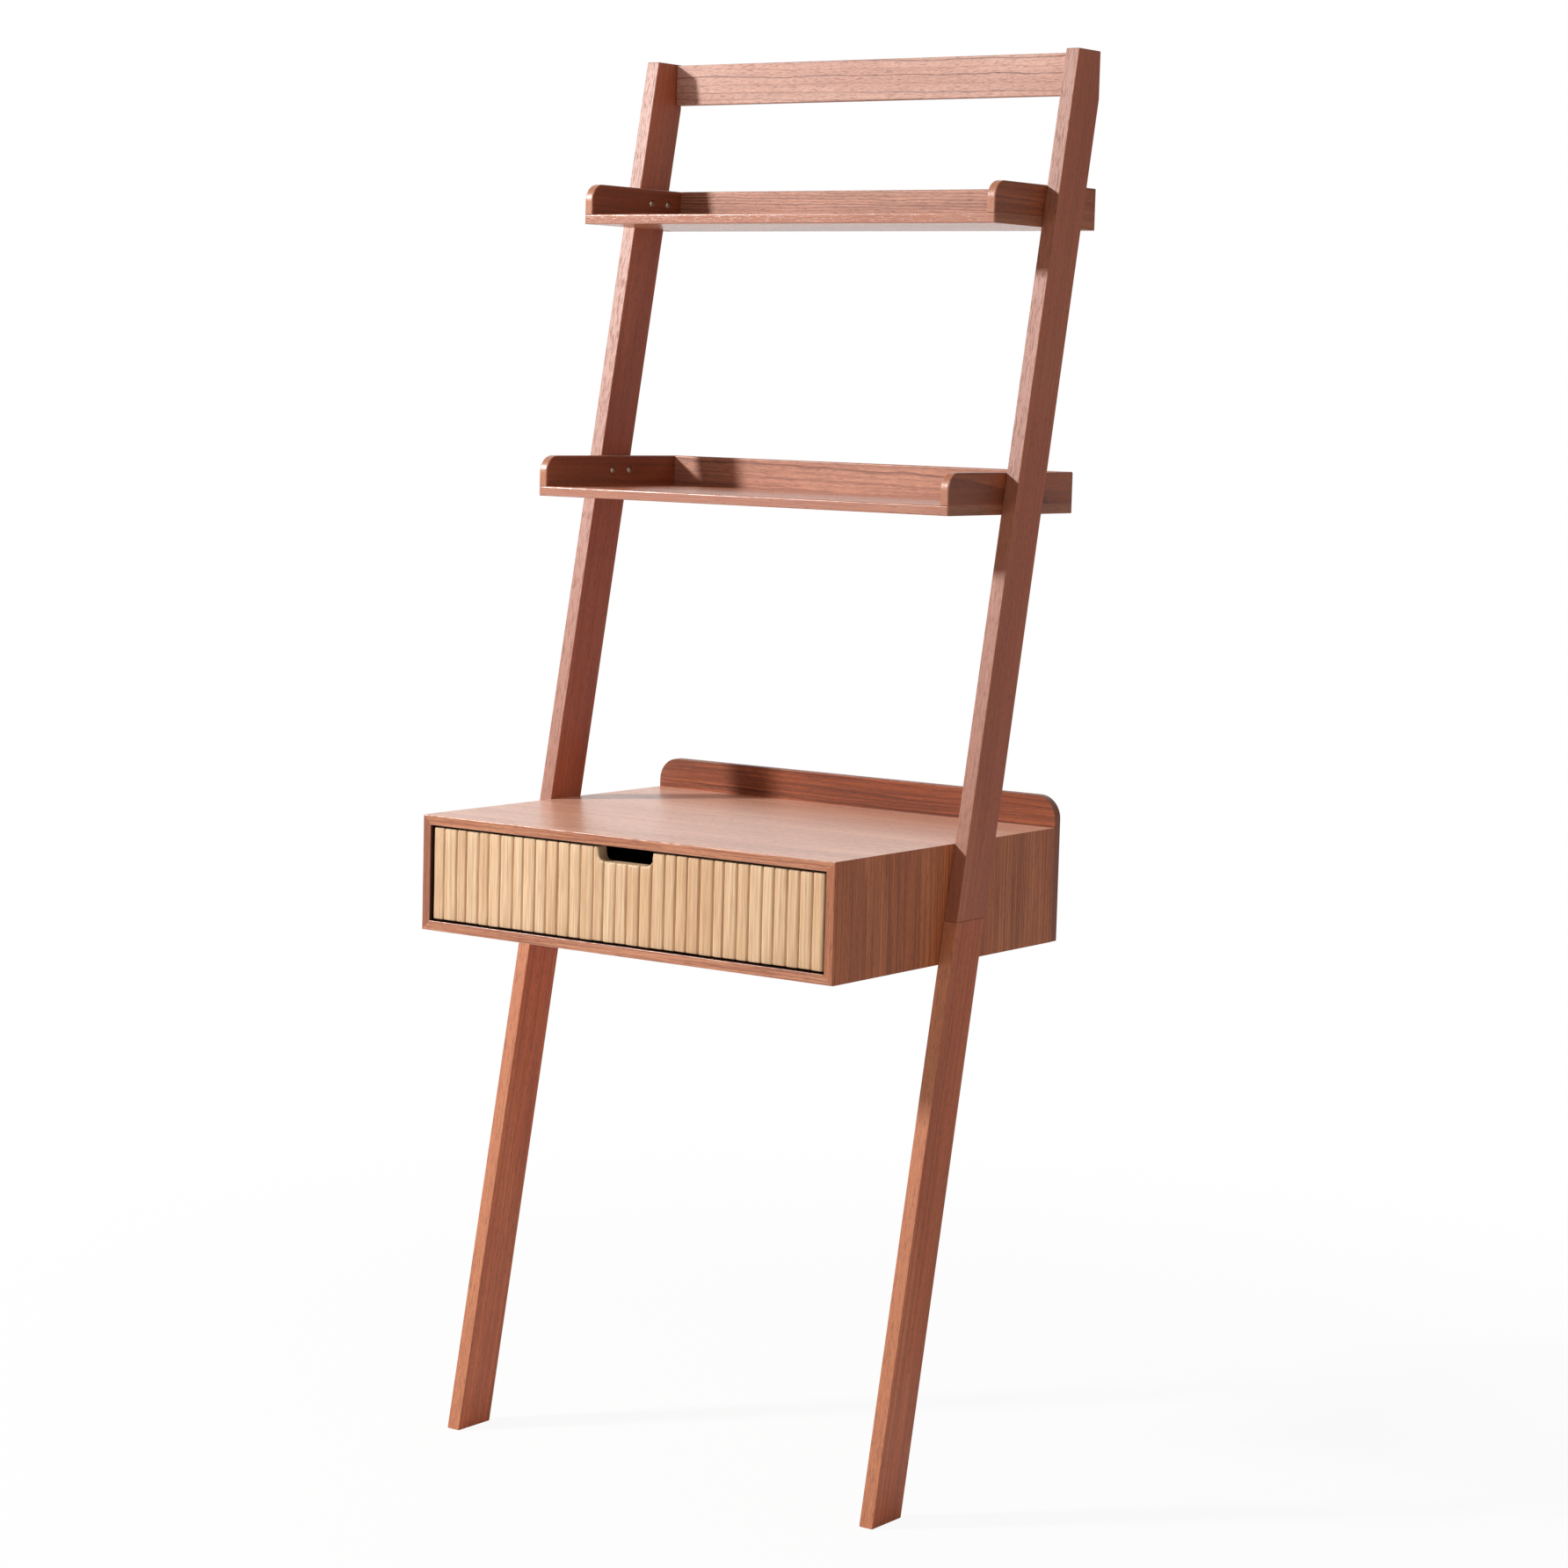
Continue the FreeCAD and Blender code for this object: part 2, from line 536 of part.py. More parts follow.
def desk_back_board():
    rim = DESK_HEIGHT + UPSTAND_HEIGHT
    corners = [(-INNER_HALF, BOX_BOTTOM, 0), (INNER_HALF, BOX_BOTTOM, 0),
               (INNER_HALF, rim, UPSTAND_RADIUS), (-INNER_HALF, rim, UPSTAND_RADIUS)]
    face = outline([(Vector(x, BOX_REAR, z), radius) for x, z, radius in corners])
    board = eased(face.extrude(Vector(0, BACK_THICK, 0)), BACK_EASE)
    return cut_all(board, back_screws(FIT))


# ---- Shelves ----
def shelf_bottom(level, depth):
    front = WALL_Y - depth
    board = block((-INNER_HALF, INNER_HALF), (front, WALL_Y), (level, level + SHELF_BOARD))
    board = eased(board, SHELF_EASE, lambda edge: lies_at(edge, "y", front))
    return cut_all(board, shelf_screws(level, depth, FIT))


def shelf_side(level, depth):
    """The right side board, which stands on the bottom board."""
    front = WALL_Y - depth
    base = level + SHELF_BOARD
    rim = level + SHELF_HEIGHT
    radius = min(SHELF_RADIUS, rim - base - FIT)
    corners = [(front, base, 0), (WALL_Y, base, 0), (WALL_Y, rim, 0), (front, rim, radius)]
    face = outline([(Vector(INNER_HALF - SHELF_BOARD, y, z), turn) for y, z, turn in corners])

    def exposed(edge):
        return not lies_at(edge, "z", base) and not lies_at(edge, "y", WALL_Y)

    board = eased(face.extrude(Vector(SHELF_BOARD, 0, 0)), SHELF_EASE, exposed)
    holes = [frame_bolt_hole(place, SHELF_BOARD) for place in bolt_places(level + SHELF_BOLT_RISE)]
    return cut_all(board, holes + shelf_screws(level, depth, FIT))


def shelf_back(level, depth):
    half = INNER_HALF - SHELF_BOARD
    rim = level + SHELF_HEIGHT
    board = block((-half, half), (WALL_Y - SHELF_BOARD, WALL_Y), (level + SHELF_BOARD, rim))
    board = eased(board, SHELF_EASE, lambda edge: lies_at(edge, "z", rim))
    return cut_all(board, shelf_screws(level, depth, FIT))


def shelf_packer():
    """The right block that fills the wedge between the stile and the wall beside the top shelf."""
    low = TOP_SHELF_LEVEL
    rim = TOP_SHELF_LEVEL + SHELF_HEIGHT
    corners = [(stile_rear(low), low), (WALL_Y, low), (WALL_Y, rim), (stile_rear(rim), rim)]
    return cut_all(stile_piece(corners), packer_screws(FIT))


def packer_screws(spare=0.0):
    """Screws through the packer into the rear edge of the right stile."""
    centre = INNER_HALF + STILE_THICK / 2
    levels = (TOP_SHELF_LEVEL + PACKER_SCREW_MARGIN, TOP_SHELF_LEVEL + SHELF_HEIGHT - PACKER_SCREW_MARGIN)
    places = [Vector(centre, WALL_Y, level) for level in levels]
    return [wood_screw(place, Vector(0, -1, 0), PACKER_SCREW_LENGTH, spare) for place in places]


def shelf_screws(level, depth, spare=0.0):
    """Screws up through the bottom board into the side boards and the back board."""
    inset = SHELF_SCREW_INSET
    side_x = INNER_HALF - SHELF_BOARD / 2
    half = INNER_HALF - SHELF_BACK_SCREW_MARGIN
    places = [(side * side_x, y) for side in (-1, 1) for y in (WALL_Y - depth + inset, WALL_Y - inset)]
    places += [(x, WALL_Y - SHELF_BOARD / 2) for x in spread(-half, half, SHELF_BACK_SCREW_COUNT)]
    up = Vector(0, 0, 1)
    return [wood_screw(Vector(x, y, level), up, SHELF_SCREW_LENGTH, spare) for x, y in places]


# ---- Drawer ----
def notch():
    """The finger notch through the drawer's front."""
    half = NOTCH_WIDTH / 2
    low = FRONT_TOP - NOTCH_DEPTH
    rise = NOTCH_DEPTH + DRAWER_TOP_GAP
    spill = NOTCH_TAPER * DRAWER_TOP_GAP / NOTCH_DEPTH
    corners = [(-half - spill, low + rise, 0), (-half + NOTCH_TAPER, low, NOTCH_RADIUS),
               (half - NOTCH_TAPER, low, NOTCH_RADIUS), (half + spill, low + rise, 0)]
    face = outline([(Vector(NOTCH_OFFSET + x, DESK_FRONT, z), radius) for x, z, radius in corners])
    return face.extrude(Vector(0, FRONT_REAR - DESK_FRONT, 0))


def drawer_front_board():
    board = block((-FRONT_HALF, FRONT_HALF), (REED_BASE, FRONT_REAR), (FRONT_BOTTOM, FRONT_TOP))
    return cut_all(board, [notch(), bottom_groove()] + both_sides(front_dowels(FIT)))


def drawer_front_reeds():
    """Half-round strips side by side on the backing board."""
    pitch = 2 * FRONT_HALF / REED_COUNT
    half = (pitch - REED_GAP) / 2
    opening = notch()
    reeds = []
    for index in range(REED_COUNT):
        centre = -FRONT_HALF + pitch * (index + 0.5)
        foot_left = Vector(centre - half, REED_BASE, FRONT_BOTTOM)
        foot_right = Vector(centre + half, REED_BASE, FRONT_BOTTOM)
        left = foot_left - Vector(0, REED_SHOULDER, 0)
        right = foot_right - Vector(0, REED_SHOULDER, 0)
        crest = Vector(centre, REED_BASE - REED_DEPTH, FRONT_BOTTOM)
        edges = [Part.LineSegment(foot_left, left).toShape(), Part.Arc(left, crest, right).toShape(),
                 Part.LineSegment(right, foot_right).toShape(),
                 Part.LineSegment(foot_right, foot_left).toShape()]
        reed = Part.Face(Part.Wire(edges)).extrude(Vector(0, 0, FRONT_TOP - FRONT_BOTTOM))
        reeds += reed.cut(opening).Solids
    return reeds


def bottom_panel_block(spare):
    """The groove of the drawer's bottom panel, less a spare all round for the panel."""
    half = DRAWER_INNER_HALF + GROOVE_DEPTH - spare
    back = DRAWER_REAR - DRAWER_BOARD + GROOVE_DEPTH - spare
    low = DRAWER_BASE + DRAWER_BOTTOM_RISE + spare
    high = DRAWER_BASE + DRAWER_BOTTOM_RISE + DRAWER_BOTTOM_THICK - spare
    return block((-half, half), (FRONT_REAR - GROOVE_DEPTH + spare, back), (low, high))


def bottom_groove():
    return bottom_panel_block(0)


def drawer_bottom():
    return bottom_panel_block(FIT)


def front_dowels(spare=0.0):
    """Dowels from the drawer's front into the end of its right side."""
    x = DRAWER_HALF - DRAWER_BOARD / 2
    start = FRONT_REAR - FRONT_DOWEL_IN_FRONT
    levels = (DRAWER_BASE + LOWER_JOINT_RISE, DRAWER_RIM - UPPER_JOINT_DROP)
    places = [Vector(x, start, level) for level in levels]
    return [dowel(place, Vector(0, 1, 0), FRONT_DOWEL_LENGTH, spare) for place in places]


def drawer_back_screws(spare=0.0):
    """Screws through the drawer's right side into the end of its back."""
    y = DRAWER_REAR - DRAWER_BOARD / 2
    levels = (DRAWER_BASE + LOWER_JOINT_RISE, DRAWER_RIM - UPPER_JOINT_DROP)
    places = [Vector(DRAWER_HALF, y, level) for level in levels]
    return [wood_screw(place, Vector(-1, 0, 0), SHELF_SCREW_LENGTH, spare) for place in places]


def drawer_side():
    board = block((DRAWER_INNER_HALF, DRAWER_HALF), (FRONT_REAR, DRAWER_REAR), (DRAWER_BASE, DRAWER_RIM))
    holes = front_dowels(FIT) + drawer_back_screws(FIT) + slide_screws_in_drawer(FIT)
    return cut_all(board, holes + [bottom_groove()])


def drawer_back():
    board = block((-DRAWER_INNER_HALF, DRAWER_INNER_HALF), (DRAWER_REAR - DRAWER_BOARD, DRAWER_REAR),
                  (DRAWER_BASE, DRAWER_RIM))
    return cut_all(board, both_sides(drawer_back_screws(FIT)) + [bottom_groove()])


# ---- Slides, on the right; distances are taken from the wall of the desk box ----
def slide_member(web, lip, half_height):
    """A steel channel: the web's near face and the lips' tips are distances from the wall."""
    along = (SLIDE_FRONT, SLIDE_REAR)
    far_web = web + SLIDE_STEEL if lip > web else web - SLIDE_STEEL
    web_x = (CAVITY_HALF - web, CAVITY_HALF - far_web)
    lip_x = (CAVITY_HALF - web, CAVITY_HALF - lip)
    low = SLIDE_LEVEL - half_height
    high = SLIDE_LEVEL + half_height
    back = block(web_x, along, (low, high))
    lower = block(lip_x, along, (low, low + SLIDE_STEEL))
    upper = block(lip_x, along, (high - SLIDE_STEEL, high))
    return back.fuse([lower, upper]).removeSplitter()


def slide_stop():
    """A tab bent in behind the members, which stops them when the drawer is shut."""
    tip = MIDDLE_LIP - SLIDE_STEEL
    start = SLIDE_REAR + SLIDE_GAP
    along = (SLIDE_REAR - SLIDE_STEEL, start + SLIDE_STEEL)
    reach = (CAVITY_HALF, CAVITY_HALF - tip)
    half = CABINET_MEMBER_HALF / 2
    level = (SLIDE_LEVEL - half, SLIDE_LEVEL + half)
    base = block((CAVITY_HALF, CAVITY_HALF - SLIDE_STEEL), along, level)
    return base.fuse(block(reach, (start, start + SLIDE_STEEL), level))


def cabinet_member():
    member = slide_member(0, CABINET_LIP, CABINET_MEMBER_HALF).fuse(slide_stop()).removeSplitter()
    return cut_all(member, slide_screws_in_box(FIT))


def middle_member():
    return slide_member(MIDDLE_WEB, MIDDLE_LIP, MIDDLE_MEMBER_HALF)


def drawer_member():
    member = slide_member(SLIDE_WIDTH, DRAWER_LIP, DRAWER_MEMBER_HALF)
    return cut_all(member, slide_screws_in_drawer(FIT))


def slide_screw_rows():
    return spread(SLIDE_FRONT + SLIDE_SCREW_MARGIN, SLIDE_REAR - SLIDE_SCREW_MARGIN, SLIDE_SCREW_COUNT)


def slide_screws_in_box(spare=0.0):
    """Screws through the cabinet member into the desk box's side."""
    places = [Vector(CAVITY_HALF - SLIDE_STEEL, y, SLIDE_LEVEL) for y in slide_screw_rows()]
    across = Vector(1, 0, 0)
    return [pan_screw(place, across, SLIDE_SCREW_HEAD_HEIGHT, SLIDE_SCREW_LENGTH, spare) for place in places]


def slide_screws_in_drawer(spare=0.0):
    """Screws through the drawer member into the drawer's side."""
    places = [Vector(DRAWER_HALF + SLIDE_STEEL, y, SLIDE_LEVEL) for y in slide_screw_rows()]
    across = Vector(-1, 0, 0)
    return [pan_screw(place, across, SLIDE_SCREW_HEAD_HEIGHT, SLIDE_SCREW_LENGTH, spare) for place in places]


# ---- All the nodes ----
def frame_nodes():
    upper = upper_stile()
    lower = lower_stile()
    pad = foot_pad()
    stud = seam_rods(STUD_RADIUS, STUD_LENGTH, [0])
    seam_dowels = seam_rods(DOWEL_RADIUS, SEAM_DOWEL_LENGTH, SEAM_DOWEL_OFFSETS)
    plate_screws = [screw for centre in HANGER_PLACES for screw in hanger_screws(centre)]
    return {
        "left_upper_stile": [mirrored(upper)],
        "right_upper_stile": [upper],
        "left_lower_stile": [mirrored(lower)],
        "right_lower_stile": [lower],
        "stile_joint_studs": both_sides(stud),
        "stile_joint_dowels": both_sides(seam_dowels),
        "left_foot_pad": [mirrored(pad)],
        "right_foot_pad": [pad],
        "top_rail": [top_rail()],
        "rail_dowels": both_sides(rail_dowels()),
        "rail_cam_bolts": both_sides([cam_bolt()]),
        "rail_cam_locks": both_sides([cam_lock()]),
        "wall_hanger_plates": [hanger_plate(centre) for centre in HANGER_PLACES],
        "hanger_plate_screws": plate_screws,
    }


def desk_nodes():
    side = side_panel()
    places = [place for level in DESK_BOLT_LEVELS for place in bolt_places(level)]
    return {
        "desk_top_panel": [level_panel(DESK_HEIGHT, CAVITY_TOP)],
        "desk_bottom_panel": [level_panel(BOX_BOTTOM, CAVITY_BOTTOM)],
        "desk_left_panel": [mirrored(side)],
        "desk_right_panel": [side],
        "desk_corner_splines": box_splines(),
        "desk_back_board": [desk_back_board()],
        "desk_back_screws": back_screws(),
        "desk_bolts": both_sides([frame_bolt(place, PANEL_THICK) for place in places]),
        "desk_insert_nuts": both_sides([insert_nut(place) for place in places]),
    }


def shelf_nodes(name, level, depth):
    side = shelf_side(level, depth)
    places = bolt_places(level + SHELF_BOLT_RISE)
    return {
        name + "_bottom": [shelf_bottom(level, depth)],
        name + "_left_side": [mirrored(side)],
        name + "_right_side": [side],
        name + "_back": [shelf_back(level, depth)],
        name + "_screws": shelf_screws(level, depth),
        name + "_bolts": both_sides([frame_bolt(place, SHELF_BOARD) for place in places]),
        name + "_insert_nuts": both_sides([insert_nut(place) for place in places]),
    }


def drawer_nodes():
    side = drawer_side()
    return {
        "drawer_front_board": [drawer_front_board()],
        "drawer_front_reeds": drawer_front_reeds(),
        "drawer_left_side": [mirrored(side)],
        "drawer_right_side": [side],
        "drawer_back": [drawer_back()],
        "drawer_bottom": [drawer_bottom()],
        "drawer_front_dowels": both_sides(front_dowels()),
        "drawer_back_screws": both_sides(drawer_back_screws()),
    }


def slide_nodes():
    nodes = {
        "slide_screws_in_box": both_sides(slide_screws_in_box()),
        "slide_screws_in_drawer": both_sides(slide_screws_in_drawer()),
    }
    members = {"cabinet": cabinet_member(), "middle": middle_member(), "drawer": drawer_member()}
    for name, member in members.items():
        nodes["left_slide_" + name + "_member"] = [mirrored(member)]
        nodes["right_slide_" + name + "_member"] = [member]
    return nodes


def write(nodes):
    os.makedirs("parts", exist_ok=True)
    for name, solids in nodes.items():
        shape = solids[0] if len(solids) == 1 else Part.makeCompound(solids)
        shape.exportStep("parts/" + name + ".step")


write(frame_nodes())
write(desk_nodes())
write(shelf_nodes("middle_shelf", MIDDLE_SHELF_LEVEL, MIDDLE_SHELF_DEPTH))
write(shelf_nodes("top_shelf", TOP_SHELF_LEVEL, TOP_SHELF_DEPTH))
write({
    "top_shelf_packers": both_sides([shelf_packer()]),
    "top_shelf_packer_screws": both_sides(packer_screws()),
})
write(drawer_nodes())
write(slide_nodes())
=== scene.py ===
import math
import random

import bmesh
import bpy
from mathutils import Matrix, Vector


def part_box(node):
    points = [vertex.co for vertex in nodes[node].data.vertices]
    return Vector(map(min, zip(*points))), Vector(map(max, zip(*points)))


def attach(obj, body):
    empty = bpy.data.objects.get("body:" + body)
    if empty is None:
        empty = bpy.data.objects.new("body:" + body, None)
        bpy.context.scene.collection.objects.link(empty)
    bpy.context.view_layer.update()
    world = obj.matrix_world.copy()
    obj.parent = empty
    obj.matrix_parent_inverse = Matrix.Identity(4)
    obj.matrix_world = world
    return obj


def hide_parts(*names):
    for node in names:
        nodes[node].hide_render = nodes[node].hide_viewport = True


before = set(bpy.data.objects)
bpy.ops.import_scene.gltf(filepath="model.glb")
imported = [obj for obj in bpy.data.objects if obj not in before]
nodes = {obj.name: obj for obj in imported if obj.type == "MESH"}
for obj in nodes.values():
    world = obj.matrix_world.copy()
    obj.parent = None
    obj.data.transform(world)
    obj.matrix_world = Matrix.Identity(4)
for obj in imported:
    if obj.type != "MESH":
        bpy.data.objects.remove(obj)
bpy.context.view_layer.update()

MM = 0.001


# ---- Camera ----
CAMERA_PLACE = Vector((2.60806, -3.60394, 1.30032))     # m
CAMERA_YAW = math.radians(35.28)        # to the left of straight on
CAMERA_PITCH = math.radians(-6.14)
CAMERA_ROLL = math.radians(1.55)
CAMERA_LENS = 85.45                     # mm
CAMERA_SENSOR = 36                      # mm, its width


def place_camera():
    """A long lens at the desk's front right, three quarters as high as the desk and tilted down."""
    level = math.cos(CAMERA_PITCH)
    forward = Vector((-math.sin(CAMERA_YAW) * level, math.cos(CAMERA_YAW) * level, math.sin(CAMERA_PITCH)))
    right = forward.cross(Vector((0, 0, 1))).normalized()
    up = right.cross(forward)
    axes = Matrix((right, up, -forward)).transposed().to_4x4()
    camera = bpy.data.objects.new("camera", bpy.data.cameras.new("camera"))
    camera.data.lens = CAMERA_LENS
    camera.data.sensor_width = CAMERA_SENSOR
    camera.matrix_world = Matrix.Translation(CAMERA_PLACE) @ axes @ Matrix.Rotation(CAMERA_ROLL, 4, "Z")
    bpy.context.scene.collection.objects.link(camera)
    bpy.context.scene.camera = camera


# ---- Node trees ----
def linear(code):
    """A hex colour, which is sRGB, as the linear values that a shader takes."""
    channels = [int(code[start:start + 2], 16) / 255 for start in (1, 3, 5)]
    return tuple(c / 12.92 if c <= 0.04045 else ((c + 0.055) / 1.055) ** 2.4 for c in channels) + (1,)


def add(tree, kind, inputs, **settings):
    """Adds a node. Each input, by name or number, is a value, or the node or socket that feeds it."""
    node = tree.nodes.new("ShaderNode" + kind)
    for name, value in settings.items():
        setattr(node, name, value)
    for name, value in inputs.items():
        named = [socket for socket in node.inputs if socket.enabled and socket.name == name]
        target = named[0] if named else node.inputs[name]
        if isinstance(value, bpy.types.Node):
            value = [socket for socket in value.outputs if socket.enabled][0]
        if isinstance(value, bpy.types.NodeSocket):
            tree.links.new(value, target)
        else:
            target.default_value = value
    return node


def blended(tree, amount, depth, under, over):
    """One colour laid over another where the amount, times a depth, says so."""
    share = add(tree, "Math", {0: amount, 1: depth}, operation="MULTIPLY")
    return add(tree, "Mix", {"Factor": share, "A": under, "B": over}, data_type="RGBA")


def new_material(name):
    """A material with an empty node tree, and that tree."""
    material = bpy.data.materials.new(name)
    material.use_nodes = True
    material.node_tree.nodes.clear()
    return material, material.node_tree


def finish(tree, inputs, relief, strength, depth, polish, rough, sunk=True):
    """Ends a material: a shader with these inputs, the relief as bumps of a depth, sunk or raised,
    and a roughness between two values, which follows the polish pattern."""
    bump = add(tree, "Bump", {"Height": relief, "Strength": strength, "Distance": depth}, invert=sunk)
    roughness = add(tree, "MapRange", {"Value": polish, "To Min": rough[0], "To Max": rough[1]})
    shader = add(tree, "BsdfPrincipled", dict(inputs, Roughness=roughness, Normal=bump))
    add(tree, "OutputMaterial", {"Surface": shader})


def dress(material, *names):
    """Gives nodes of the frame a material."""
    for name in names:
        nodes[name].material_slots[0].material = material


# ---- Patterns ----
ALONG_X = (0, 0, 0)
ALONG_Y = (0, 0, -math.pi / 2)
ALONG_Z = (0, math.pi / 2, 0)


def lean_angle():
    """The stiles' angle from upright, from the front corners of their two lengths."""
    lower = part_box("left_lower_stile")[0]
    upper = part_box("left_upper_stile")[0]
    return math.atan2(upper[1] - lower[1], upper[2] - lower[2])


ALONG_STILE = (lean_angle(), math.pi / 2, 0)


def in_the_grain(tree, grain, shift=0.0):
    """Places on the piece in millimetres, turned so that X runs along the grain."""
    where = add(tree, "TexCoord", {})
    return add(tree, "Mapping", {"Vector": where.outputs["Object"], "Rotation": grain,
                                 "Location": (shift, 0, 0), "Scale": (1 / MM, 1 / MM, 1 / MM)})


def wandering(tree, point, reach, wave):
    """The same places, pushed sideways so that straight grain becomes gently wavy. The wave's two
    sizes are along and across the grain."""
    scaled = add(tree, "Mapping", {"Vector": point, "Scale": (1 / wave[0], 1 / wave[1], 1 / wave[1])})
    push = add(tree, "TexNoise", {"Vector": scaled, "Scale": 1.0, "Detail": 3.0})
    centred = add(tree, "VectorMath", {0: push.outputs["Color"], 1: (-0.5, -0.5, -0.5)}, operation="ADD")
    push = add(tree, "VectorMath", {0: centred, 1: (0, reach, reach)}, operation="MULTIPLY")
    return add(tree, "VectorMath", {0: point, 1: push}, operation="ADD")


LOG_TAPER = 0.012       # how far a ring closes in on the heart, per millimetre along the log
RING_SLOW = 0.035       # how quickly the gap between rings changes, per millimetre
RING_EDGE = 0.95        # part of a ring at which it is darkest, before its sharp edge
RING_FAINTEST = 0.15    # each ring's strength lies between this and 1


def growth_lines(tree, point, heart, gap, start, drift):
    """Late wood of the growth rings round the log's heart: from the start of each ring's dark part,
    slowly darker, then a sharp edge. The drift makes some rings closer than others."""
    across = add(tree, "VectorMath", {0: point, 1: (0, 1, 1)}, operation="MULTIPLY")
    radius = add(tree, "VectorMath", {0: across, 1: (0, heart[0], heart[1])}, operation="DISTANCE")
    along = add(tree, "SeparateXYZ", {"Vector": point})
    reach = add(tree, "Math", {0: along, 1: LOG_TAPER, 2: radius}, operation="MULTIPLY_ADD")
    slow = add(tree, "Math", {0: reach, 1: RING_SLOW}, operation="MULTIPLY")
    uneven = add(tree, "TexNoise", {"W": slow, "Scale": 1.0}, noise_dimensions="1D")
    spread = add(tree, "Math", {0: uneven, 1: drift}, operation="MULTIPLY")
    count = add(tree, "Math", {0: reach, 1: 1 / gap, 2: spread}, operation="MULTIPLY_ADD")
    part = add(tree, "Math", {0: count}, operation="FRACT")
    rise = add(tree, "MapRange", {"Value": part, "From Min": start, "From Max": RING_EDGE},
               interpolation_type="SMOOTHSTEP")
    fall = add(tree, "MapRange", {"Value": part, "From Min": 1.0, "From Max": RING_EDGE},
               interpolation_type="SMOOTHSTEP")
    line = add(tree, "Math", {0: rise, 1: fall}, operation="MULTIPLY")
    ring = add(tree, "Math", {0: count}, operation="FLOOR")
    chance = add(tree, "TexWhiteNoise", {"W": ring}, noise_dimensions="1D")
    strength = add(tree, "Math", {0: chance, 1: 1 - RING_FAINTEST, 2: RING_FAINTEST},
                   operation="MULTIPLY_ADD")
    return add(tree, "Math", {0: line, 1: strength}, operation="MULTIPLY")


def patches(tree, point, size, low, high, detail=2.0):
    """Soft patches from 0 to 1, of the given size in millimetres along and across the grain."""
    scaled = add(tree, "Mapping", {"Vector": point, "Scale": tuple(1 / length for length in size)})
    noise = add(tree, "TexNoise", {"Vector": scaled, "Scale": 1.0, "Detail": detail})
    return add(tree, "MapRange", {"Value": noise, "From Min": low, "From Max": high},
               interpolation_type="SMOOTHSTEP")


FACING = (0.55, 0.85)   # parts of the normal along an axis, between which a face starts to count


def looking_along(tree, axis, sign=0):
    """1 where the surface looks along an axis: either way, or towards + or - with a sign."""
    facing = add(tree, "TexCoord", {})
    parts = add(tree, "SeparateXYZ", {"Vector": facing.outputs["Normal"]})
    part = add(tree, "Math", {0: parts.outputs[axis], 1: sign}, operation="MULTIPLY" if sign else "ABSOLUTE")
    return add(tree, "MapRange", {"Value": part, "From Min": FACING[0], "From Max": FACING[1]},
               interpolation_type="SMOOTHSTEP")


# ---- Woods ----
# Sizes of patterns are in millimetres: along the grain, and twice across it.
CLOUD_SIZE = (300, 55, 55)      # slow changes from pale to body
STREAK_LENGTH = 420
PORE_SIZE = (11, 0.9, 0.9)
PORE_DEPTH = 0.4                # how much a pore darkens the wood
PORE_ROUGHNESS = 0.12           # and how much rougher it is, where the lacquer sinks in
LINE_RELIEF = 0.5               # height of the growth lines, where a pore's is 1
STRIPE_SIZE = (90, 1.1, 1.1)    # stripes of the veneer on the edges
END_DEPTH = 0.28                # how much darker a veneered end is than the wide faces
INSIDE_SHADE = "#3a1d12"               # painted shade: the near-black brown of the faces inside the desk box, for the shade there
